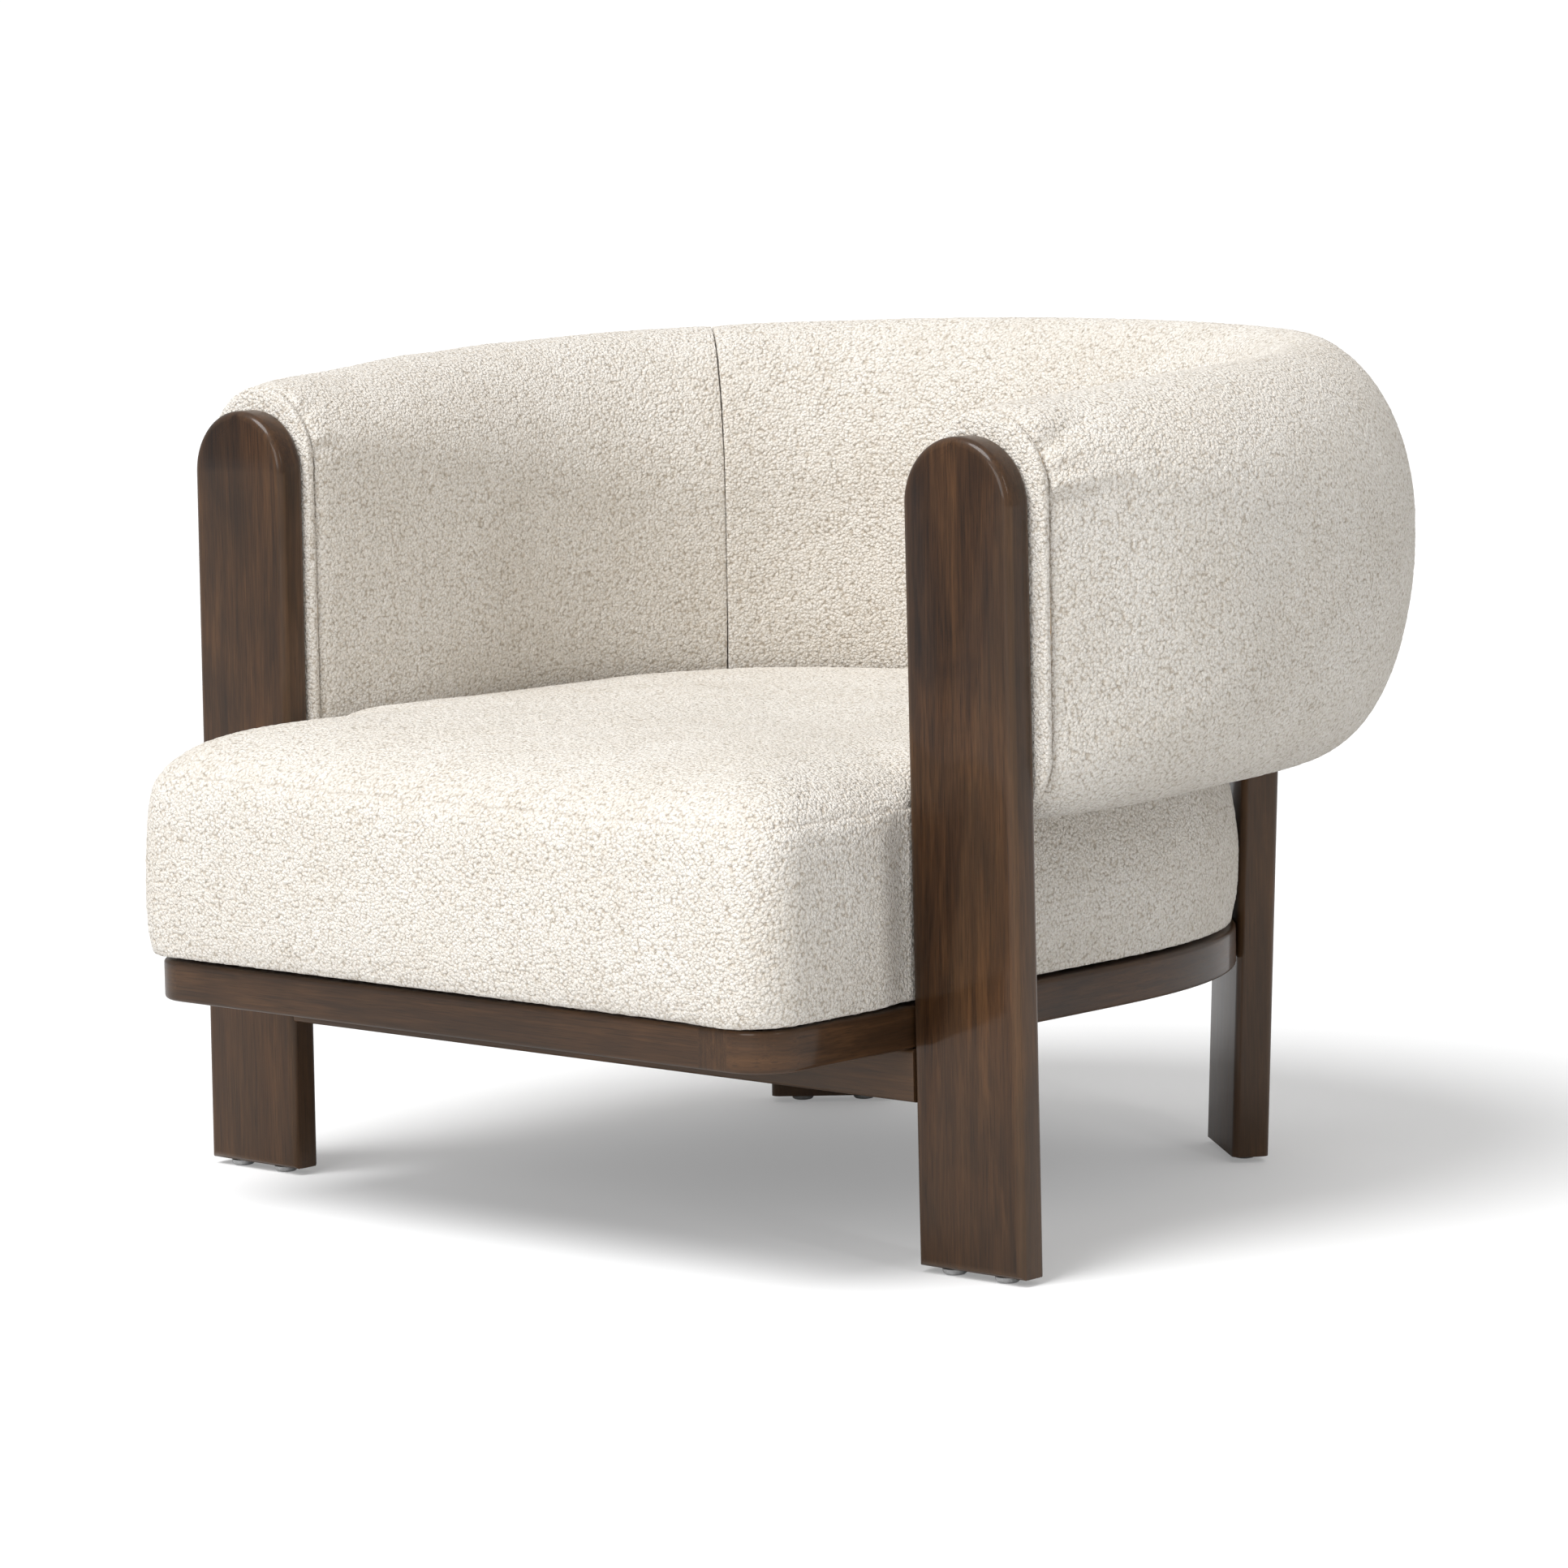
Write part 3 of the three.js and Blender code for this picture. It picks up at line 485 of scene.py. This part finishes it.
def cross_rail():
    """The low rail between the front posts."""
    low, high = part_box("front_cross_rail")
    inner = POST_AXIS - POST_WIDTH / 2 + POST_SPLAY * (POST_TOP - low.z) - 0.0006
    far_corner = (inner, FRONT + POST_THICK - 0.0008, high.z)
    piece = block("front_cross_rail_wood", (-inner, low.y + 0.0004, low.z), far_corner)
    long = lambda e: abs(e.verts[0].co.x - e.verts[1].co.x) > 0.1
    bevel_edges(piece, long, 0.003, 4)
    p = coords(piece)
    grained(piece, p[:, 0], p[:, 2], p[:, 1], 0.37)
    return made(piece, WALNUT, "walnut", "front_cross_rail")


def seat_ring():
    """The whole ring: its outline, extruded inwards and upwards, with its long edges rounded."""
    outer, inner = ring_outline(0.0), ring_outline(RING_WIDTH)
    deselect()
    bpy.ops.mesh.primitive_circle_add(vertices=len(outer), radius=1, fill_type="NOTHING")
    piece = bpy.context.object
    piece.name = "seat_ring_wood"
    bpy.ops.object.mode_set(mode="EDIT")
    bpy.ops.mesh.select_all(action="SELECT")
    bpy.ops.mesh.extrude_region_move()
    bpy.ops.object.mode_set(mode="OBJECT")
    outline = np.concatenate([outer, inner])
    place(piece, np.c_[outline, np.full(len(outline), RING_LOW)])
    bpy.ops.object.mode_set(mode="EDIT")
    bpy.ops.mesh.select_all(action="SELECT")
    bpy.ops.mesh.extrude_region_move(TRANSFORM_OT_translate={"value": (0, 0, RING_TOP - RING_LOW)})
    bpy.ops.mesh.select_all(action="SELECT")
    bpy.ops.mesh.normals_make_consistent(inside=False)
    bpy.ops.object.mode_set(mode="OBJECT")
    level = lambda e: abs(e.verts[0].co.z - e.verts[1].co.z) < 1e-6 and len(e.link_faces) == 2 and (
        abs(e.link_faces[0].normal.dot(e.link_faces[1].normal)) < 0.5)
    bevel_edges(piece, level, 0.0032, 4)
    p = coords(piece)
    along = np.concatenate([[0], np.cumsum(STEPS)[:-1]])
    near = np.array([np.argmin(((OUTLINE - q[:2]) ** 2).sum(1)) for q in p])
    away = np.linalg.norm(OUTLINE[near] - p[:, :2], axis=1)
    grained(piece, along[near], p[:, 2], away, 1.91)
    nodes = ["ring_front", "ring_back", "ring_side_right", "ring_side_left"]
    nodes += ["ring_corner_right", "ring_corner_left"]
    return made(piece, WALNUT, "walnut", *nodes)


def glide(node):
    """A domed plastic glide, spun from its profile."""
    low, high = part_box(node)
    centre = (low + high) / 2
    radius, top = (high.x - low.x) / 2, high.z
    outline = [(0.0, 0.0), (0.55, 0.0), (0.80, 0.12), (0.94, 0.36), (1.0, 0.72), (1.0, 1.0), (0.0, 1.0)]
    deselect()
    bpy.ops.mesh.primitive_circle_add(vertices=len(outline), radius=1, fill_type="NOTHING")
    piece = bpy.context.object
    piece.name = f"{node}_plastic"
    place(piece, [(centre.x + r * radius, centre.y, low.z + t * (top - low.z)) for r, t in outline])
    bpy.ops.object.mode_set(mode="EDIT")
    bpy.ops.mesh.select_all(action="SELECT")
    middle = (centre.x, centre.y, 0)
    bpy.ops.mesh.spin(steps=28, angle=2 * math.pi, center=middle, axis=(0, 0, 1), dupli=False)
    bpy.ops.mesh.select_all(action="SELECT")
    bpy.ops.mesh.remove_doubles(threshold=0.00002)
    bpy.ops.mesh.normals_make_consistent(inside=False)
    bpy.ops.object.mode_set(mode="OBJECT")
    take(piece)
    bpy.ops.object.shade_smooth_by_angle(angle=math.radians(50))
    return made(piece, GLIDE, "glide_plastic", node)


# ---------- upholstery ----------
def skin(name, grid):
    """A closed mesh from rows of points that each go once round; strips of quads cap both ends."""
    rows, columns = grid.shape[:2]
    faces = []
    for i in range(rows - 1):
        for j in range(columns):
            k = (j + 1) % columns
            faces.append((i * columns + j, i * columns + k, (i + 1) * columns + k, (i + 1) * columns + j))
    last = (rows - 1) * columns
    for j in range(columns // 2 - 1):
        strip = (j, j + 1, columns - 2 - j, columns - 1 - j)
        faces.append(strip[::-1])
        faces.append(tuple(last + k for k in strip))
    mesh = bpy.data.meshes.new(name)
    mesh.from_pydata(grid.reshape(-1, 3).tolist(), [], faces)
    piece = bpy.data.objects.new(name, mesh)
    bpy.context.scene.collection.objects.link(piece)
    take(piece)
    bpy.ops.object.mode_set(mode="EDIT")
    bpy.ops.mesh.select_all(action="SELECT")
    bpy.ops.mesh.normals_make_consistent(inside=False)
    bpy.ops.object.mode_set(mode="OBJECT")
    bpy.ops.object.shade_smooth()
    return piece


def grid_normals(grid):
    """Outward normals of a grid whose rows go round, by its neighbours."""
    round_way = np.roll(grid, -1, 1) - np.roll(grid, 1, 1)
    long_way = np.gradient(grid, axis=0)
    n = np.cross(round_way, long_way)
    n /= np.maximum(np.linalg.norm(n, axis=-1, keepdims=True), 1e-12)
    middle = grid.mean(axis=1, keepdims=True)
    if ((grid - middle) * n).sum() < 0:
        n = -n
    return n


def pile(piece, height, seed):
    """Stands the boucle's nubs up from the surface."""
    p = coords(piece)
    flat = np.zeros(len(p) * 3)
    piece.data.vertices.foreach_get("normal", flat)
    n = flat.reshape(-1, 3)
    lift = height * (loops(p, 0.0046, seed) * 1.5 - 0.6) + 0.25 * height * lumps(p, 0.0024, seed + 5)
    place(piece, p + n * lift[:, None])


# The seat's border and the edge of its top, from the ring up: how far inside the ring's outline and how high,
# in millimetres, first at the front and then between the posts and round the back.
SEAT_PROFILE = [
    ((-5, 200.2), (4, 200.2)), ((-9, 208), (3, 208)), ((-12, 230), (-1, 230)), ((-12.5, 265), (-1.5, 265)),
    ((-10.5, 300), (3, 300)), ((-8, 322), (8, 321)), ((-4, 337), (13, 334)), ((2, 346), (16.5, 346)),
    ((11, 354), (17, 358)), ((22, 361), (20, 369)), ((40, 369), (33, 377)), ((75, 377), (65, 382)),
    ((130, 383), (130, 384.5)), ((200, 385.2), (200, 385.4)),
]
SEAT_SEAM_ROW = 7  # the row on which the top panel is sewn to the border
SEAT_MESH_STEP = 0.0042
SEAT_TOP_RINGS = 34
FAR_ROW = 99.0  # stands for rows too far from the seam to be drawn in by it
SEAM_ROW_WIDTH = 0.0105  # how far a step of one row is, beside the seam


def spline(values, t):
    """Catmull-Rom curve through values at whole numbers."""
    values = np.asarray(values, float)
    last = len(values) - 1
    i = np.clip(np.floor(t).astype(int), 0, last - 1)
    f = (t - i)[:, None]
    a, b = values[np.maximum(i - 1, 0)], values[i]
    c, d = values[i + 1], values[np.minimum(i + 2, last)]
    return 0.5 * (2 * b + (c - a) * f + (2 * a - 5 * b + 4 * c - d) * f**2 + (3 * b - a - 3 * c + d) * f**3)


def seat():
    """The tight seat: a boxed border that follows the ring, its sewn edge, and the crowned top."""
    middle = np.array([0.0, SEAT_MIDDLE])
    where = (np.arange(SEAT_COLUMNS) / SEAT_COLUMNS) * OUTLINE_LENGTH
    cumulated = np.concatenate([[0], np.cumsum(STEPS)])
    looped = np.concatenate([OUTLINE, OUTLINE[:1]])
    edge = np.stack([np.interp(where, cumulated, looped[:, k]) for k in (0, 1)], -1)
    ray = edge - middle
    full = np.linalg.norm(ray, axis=1)
    ray /= full[:, None]
    front = np.array([f for f, _ in SEAT_PROFILE]) / 1000
    rear = np.array([r for _, r in SEAT_PROFILE]) / 1000
    dense = np.linspace(0, len(front) - 1, 1200)
    curve = spline(front, dense)
    length = np.concatenate([[0], np.cumsum(np.linalg.norm(np.diff(curve, axis=0), axis=1))])
    spots = np.interp(np.arange(0, length[-1], SEAT_MESH_STEP), length, dense)
    around_seam = SEAT_SEAM_ROW + np.array([-0.22, -0.09, -0.04, 0, 0.04, 0.09, 0.22])
    spots = spots[np.abs(spots - SEAT_SEAM_ROW) > 0.3]
    t = np.sort(np.concatenate([spots, around_seam, [len(front) - 1.0]]))
    # From the posts' front faces on, the section changes from the front one to the rear one, and between the
    # posts the border stays clear of them.
    y = edge[:, 1] - FRONT
    back = smoothed((y + 0.010) / 0.060)
    clear = np.maximum(np.maximum(-y - 0.006, y - 0.036), 0)
    f, r = spline(front, t), spline(rear, t)
    inside = f[:, None, 0] + (r - f)[:, None, 0] * back[None]
    z = f[:, None, 1] + (r - f)[:, None, 1] * back[None]
    inside = inside + np.maximum(0.0015 - inside, 0) * (1 - smoothed(clear / 0.030))[None]
    reach = full[None] - inside
    rows = [np.concatenate([middle + ray * q[:, None], h[:, None]], 1) for q, h in zip(reach, z)]
    top_reach, top_z = reach[-1], z[-1]
    for share in np.linspace(0.03, 0.97, SEAT_TOP_RINGS):
        q = top_reach * (1 - share)
        h = top_z + (SEAT_CROWN - top_z) * (1 - (1 - share) ** 2)
        rows.append(np.concatenate([middle + ray * q[:, None], h[:, None]], 1))
    grid = np.array(rows)
    n = grid_normals(grid)
    amount = np.zeros(grid.shape[:2])
    # The seam is a puckered valley, and the panels beside it are never quite flat.
    seam_distance = np.abs(np.concatenate([t, np.full(SEAT_TOP_RINGS, FAR_ROW)]) - SEAT_SEAM_ROW)
    seam_distance = seam_distance * SEAM_ROW_WIDTH
    valley = np.exp(-((seam_distance / 0.0030) ** 2))[:, None]
    pucker = 0.75 + 0.25 * lumps(grid * np.array([1, 1, 0.2]), 0.014, 11)
    amount -= 0.0013 * valley * pucker
    amount += 0.0011 * lumps(grid, 0.110, 21) + 0.0005 * lumps(grid, 0.045, 22)
    low = smoothed((grid[..., 2] - 0.2) / 0.02)
    grid = grid + n * (amount * low)[..., None]
    piece = skin("seat_cushion", grid)
    # Painted shade along the seam's valley: how far the boucle's colour is darkened there.
    line = np.exp(-((seam_distance / 0.0007) ** 2))[:, None] * (0.55 + 0.45 * lumps(grid, 0.0065, 31))
    point_values(piece, "painted_seam_shade", "FLOAT", np.clip(line, 0, 1).ravel())
    return piece


def band_plan(run, face):
    """Plan points of the band's inner or outer face. Run goes from -1, the left arm's end, to 1."""
    s = 1 - np.abs(run)
    flare = np.sin(np.minimum(s / STRAIGHT_RUN, 1) * math.pi / 2)
    x = face["front"] + (face["side"] - face["front"]) * flare
    y = BAND_START + (BEND - BAND_START) * s / STRAIGHT_RUN
    angle = np.clip((s - STRAIGHT_RUN) / (1 - STRAIGHT_RUN), 0, 1) * math.pi / 2
    bx, by = bend_point(face["side"], face["back"], face["power"], angle)
    straight = s < STRAIGHT_RUN
    return np.stack([np.where(run < 0, -1, 1) * np.where(straight, x, bx), np.where(straight, y, by)], -1)


def band_point(run, angle, inset=0.0):
    """Points on the band's skin. Angle 0 faces outwards and a quarter turn is the top."""
    c, s = np.cos(angle), np.sin(angle)
    power = np.where(s < 0, np.where(c < 0, 5.0, 2.0), 1.85)
    u, w = np.sign(c) * np.abs(c) ** (2 / power), np.sign(s) * np.abs(s) ** (2 / power)
    k = 1 - np.abs(run)
    grown = smoothed(k / 0.55)
    top = 0.6395 + 0.033 * np.sin(k * math.pi / 2)
    bottom = 0.334 + 0.009 * grown
    top_start = (top - 0.059) * (1 - grown) + 0.527 * grown
    bottom_start = 0.388 * (1 - grown) + 0.511 * grown
    upper = top_start + w * (top - top_start - inset)
    lower = bottom_start + w * (bottom_start - bottom - inset)
    z = np.where(s > 0, upper, lower)
    middle = (band_plan(run, INNER) + band_plan(run, OUTER)) / 2
    across = band_plan(run, OUTER) - middle
    half = np.linalg.norm(across, axis=-1)
    xy = middle + across / half[..., None] * (u * (half - inset))[..., None]
    return np.concatenate([xy, z[..., None]], -1)


def band_section(run, columns, inset=0.0):
    """One cross-section with its points evenly spaced round it."""
    angle = np.linspace(0, 2 * math.pi, 1441)
    dense = band_point(np.full(angle.shape, run), angle, inset)
    length = np.concatenate([[0], np.cumsum(np.linalg.norm(np.diff(dense, axis=0), axis=1))])
    spots = np.arange(columns) / columns * length[-1]
    return np.stack([np.interp(spots, length, dense[:, k]) for k in range(3)], -1)


def run_length():
    """How far along the band's middle line each run is."""
    runs = np.linspace(-1, 1, 4001)
    path = (band_plan(runs, INNER) + band_plan(runs, OUTER)) / 2
    length = np.concatenate([[0], np.cumsum(np.linalg.norm(np.diff(path, axis=0), axis=1))])
    return runs, length


RUNS, RUN_LENGTH = run_length()
ARM_END = 1 - STRAIGHT_RUN - SEAM_ANGLE / 90 * (1 - STRAIGHT_RUN)
SEAM_GAP = 0.0003
SEAM_DIP = 0.0013
SHOULDER = 0.0037


def band_pad(name, run0, run1, front_end, seed):
    """Part of the band between two runs; each end draws in to its seam."""
    l0, l1 = np.interp([run0, run1], RUNS, RUN_LENGTH)
    l0, l1 = l0 + SEAM_GAP, l1 - SEAM_GAP
    count = int((l1 - l0) / 0.0046)
    ends = np.array([0.0006, 0.0016, 0.003])
    inner = np.linspace(l0 + 0.0055, l1 - 0.0055, count)
    lengths = np.concatenate([[l0], l0 + ends, inner, l1 - ends[::-1], [l1]])
    runs = np.interp(lengths, RUN_LENGTH, RUNS)
    grid = np.array([band_section(r, PAD_COLUMNS) for r in runs])
    n = grid_normals(grid)
    from_start = (lengths - l0)[:, None]
    from_end = (l1 - lengths)[:, None]
    seam = SEAM_DIP * (np.exp(-from_start / 0.0028) + np.exp(-from_end / 0.0028))
    amount = 0.0013 * lumps(grid, 0.120, seed) + 0.0006 * lumps(grid, 0.050, seed + 1)
    if front_end:
        at = from_end if front_end > 0 else from_start
        other = from_start if front_end > 0 else from_end
        seam = SHOULDER * np.exp(-at / 0.0048) + SEAM_DIP * np.exp(-other / 0.0028)
        amount = amount + gathers(grid, at)
    grid = grid + n * (amount - seam)[..., None]
    piece = skin(name, grid)
    point_values(piece, "painted_seam_shade", "FLOAT", np.zeros(grid.shape[0] * grid.shape[1]))
    return piece


def fold(grid, at, height, lean, width, length, depth):
    """A pleat that starts at the arm's front at a height and runs back, with a roll beside it."""
    z = grid[..., 2] - (height + lean * at)
    fade = np.exp(-((at / length) ** 2)) * smoothed(at / 0.004 + 0.4)
    valley = -depth * np.exp(-((z / width) ** 2))
    roll = 0.7 * depth * np.exp(-(((z - 2.4 * width) / (1.6 * width)) ** 2))
    return fade * (valley + roll)


def gathers(grid, at):
    """The pleats and ripples of an arm cover where it is pulled to its end facing."""
    outer = smoothed((np.abs(grid[..., 0]) - 0.385) / 0.02)
    inner = smoothed((0.365 - np.abs(grid[..., 0])) / 0.02)
    amount = outer * fold(grid, at, 0.574, 0.10, 0.0040, 0.042, 0.0040)
    amount += outer * fold(grid, at, 0.612, 0.35, 0.0050, 0.052, 0.0040)
    amount += outer * fold(grid, at, 0.592, 0.22, 0.0030, 0.022, 0.0018)
    amount += outer * fold(grid, at, 0.540, 0.02, 0.0035, 0.018, 0.0014)
    amount += inner * fold(grid, at, 0.588, 0.10, 0.0038, 0.018, 0.0030)
    amount += inner * fold(grid, at, 0.617, 0.40, 0.0042, 0.016, 0.0032)
    ripple = lumps(np.stack([grid[..., 0] * 0.2, grid[..., 1] * 0.15, grid[..., 2]], -1), 0.021, 77)
    return amount + 0.0011 * np.exp(-at / 0.026) * ripple


def arm_facing(side):
    """The padded strip between a post and the arm, with soft round edges."""
    y0, y1 = FRONT + POST_THICK + 0.0003, BAND_START - 0.0004
    thick = y1 - y0
    rows = []
    for t in np.linspace(0, 1, 11):
        inset = 0.0010 + 0.0030 * (1 - math.sin(math.pi * min(max(t, 0.0), 1.0)) ** 0.5)
        section = band_section(1.0, FACING_COLUMNS, inset)
        section[:, 1] = y0 + thick * t
        rows.append(section)
    grid = np.array(rows)
    piece = skin(f"arm_facing_{side}_pad", grid)
    if side == "left":
        flip_side(piece)
    point_values(piece, "painted_seam_shade", "FLOAT", np.zeros(len(piece.data.vertices)))
    return piece


def refine(piece, height, seed):
    """One level of subdivision, then the pile."""
    take(piece)
    finer = piece.modifiers.new("finer", "SUBSURF")
    finer.levels = finer.render_levels = 1
    bpy.ops.object.modifier_apply(modifier=finer.name)
    pile(piece, height, seed)


def upholster():
    """The seat, the back, and each arm with its end facing."""
    cushion = seat()
    refine(cushion, PILE_HEIGHT, 101)
    made(cushion, BOUCLE, "boucle", "seat_cover", "seat_foam")
    back = band_pad("back_pad", -ARM_END, ARM_END, 0, 41)
    refine(back, PILE_HEIGHT, 102)
    made(back, BOUCLE, "boucle", "back_cover", "back_foam")
    for side, run0, run1, end in (("right", ARM_END, 1.0, 1), ("left", -1.0, -ARM_END, -1)):
        arm = band_pad(f"arm_pad_{side}", run0, run1, end, 51 if end > 0 else 61)
        refine(arm, PILE_HEIGHT, 103 + end)
        made(arm, BOUCLE, "boucle", f"arm_cover_{side}", f"arm_foam_{side}")
        facing = arm_facing(side)
        pile(facing, PILE_HEIGHT, 108 + end)
        made(facing, BOUCLE, "boucle", f"arm_facing_{side}")


def carried_over():
    """CAD nodes that keep their shape and get a finish."""
    kinds = [("seat_web", WEBBING), ("dust_cover", LINING), ("bolt", STEEL)]
    kinds += [(word, PLYWOOD) for word in ("corner_block", "arm_panel", "rail", "upright")]
    for name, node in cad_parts.items():
        found = [material for word, material in kinds if word in name]
        if found and not node.hide_render:
            node.data.materials.clear()
            node.data.materials.append(found[0])


# ---------- studio ----------
def studio():
    """A pale floor, a white backdrop, a soft key light with two softboxes, and the camera."""
    deselect()
    bpy.ops.mesh.primitive_plane_add(size=40, location=(0, 0, 0))
    floor = bpy.context.object
    floor.name = "studio_floor"
    material, tree, shader = new_material("pale_floor")
    where = add_node(tree, "ShaderNodeTexCoord").outputs["Object"]
    noise = add_node(tree, "ShaderNodeTexNoise", {"Vector": where, "Scale": 3.0})
    tone = ramp(tree, noise.outputs["Fac"], [(0.3, (0.69, 0.69, 0.69)), (0.7, (0.71, 0.71, 0.71))])
    tree.links.new(tone, shader.inputs["Base Color"])
    shader.inputs["Roughness"].default_value = 0.9
    shader.inputs["Specular IOR Level"].default_value = 0.1
    shader.inputs["Emission Color"].default_value = (1, 1, 1, 1)
    seen = add_node(tree, "ShaderNodeLightPath").outputs["Is Camera Ray"]
    tree.links.new(maths(tree, "MULTIPLY", seen, 0.24), shader.inputs["Emission Strength"])
    floor.data.materials.append(material)

    world = bpy.data.worlds.new("studio_world")
    bpy.context.scene.world = world
    world.use_nodes = True
    tree = world.node_tree
    sky = tree.nodes["Background"]
    sky.inputs[0].default_value = (1, 1, 1, 1)
    lit, white_backdrop = 0.54, 1.05  # strength as a light, and as seen behind the chair
    path = tree.nodes.new("ShaderNodeLightPath")
    seen = tree.nodes.new("ShaderNodeMapRange")
    seen.inputs["To Min"].default_value = lit
    seen.inputs["To Max"].default_value = white_backdrop
    tree.links.new(path.outputs["Is Camera Ray"], seen.inputs["Value"])
    tree.links.new(seen.outputs[0], sky.inputs[1])

    def softbox(name, place_at, aim, size, power, colour):
        deselect()
        bpy.ops.object.light_add(type="AREA", location=place_at)
        lamp = bpy.context.object
        lamp.name = name
        lamp.data.shape = "RECTANGLE"
        lamp.data.size, lamp.data.size_y = size
        lamp.data.energy = power
        lamp.data.color = colour
        lamp.rotation_euler = (Vector(aim) - Vector(place_at)).to_track_quat("-Z", "Y").to_euler()

    def sun(name, direction, strength, spread_deg, colour):
        deselect()
        bpy.ops.object.light_add(type="SUN", location=(0, 0, 3))
        lamp = bpy.context.object
        lamp.name = name
        lamp.data.energy = strength
        lamp.data.angle = math.radians(spread_deg)
        lamp.data.color = colour
        lamp.rotation_euler = Vector(direction).to_track_quat("-Z", "Y").to_euler()

    sun("key_light", (0.10, 0.58, -1.0), 2.95, 34, (0.99, 0.995, 1.0))
    softbox("side_strip", (3.0, -0.9, 2.1), (0.45, -0.35, 0.6), (0.10, 1.3), 8, (1.0, 1.0, 1.0))
    softbox("front_softbox", (0.7, -3.7, 1.6), (0, 0, 0.4), (1.8, 1.6), 36, (1.0, 1.0, 1.0))

    deselect()
    bpy.ops.object.camera_add(location=(3.21187, -3.62303, 0.89449))
    camera = bpy.context.object
    camera.name = "studio_camera"
    right, up = Vector((0.74718, 0.66436, -0.01852)), Vector((-0.06503, 0.10081, 0.99277))
    back = right.cross(up).normalized()
    up = back.cross(right).normalized()
    turn = Matrix((right.normalized(), up, back)).transposed()
    camera.rotation_euler = turn.to_euler()
    camera.data.sensor_width = 36
    camera.data.lens = 139.727
    camera.data.clip_start, camera.data.clip_end = 0.1, 100
    bpy.context.scene.camera = camera
    bpy.context.scene.view_settings.view_transform = "Standard"


front_post("right", 0.13)
front_post("left", 0.71)
rear_leg("right", 1.27)
rear_leg("left", 1.63)
cross_rail()
seat_ring()
for node in [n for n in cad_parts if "glide" in n]:
    glide(node)
upholster()
carried_over()
studio()
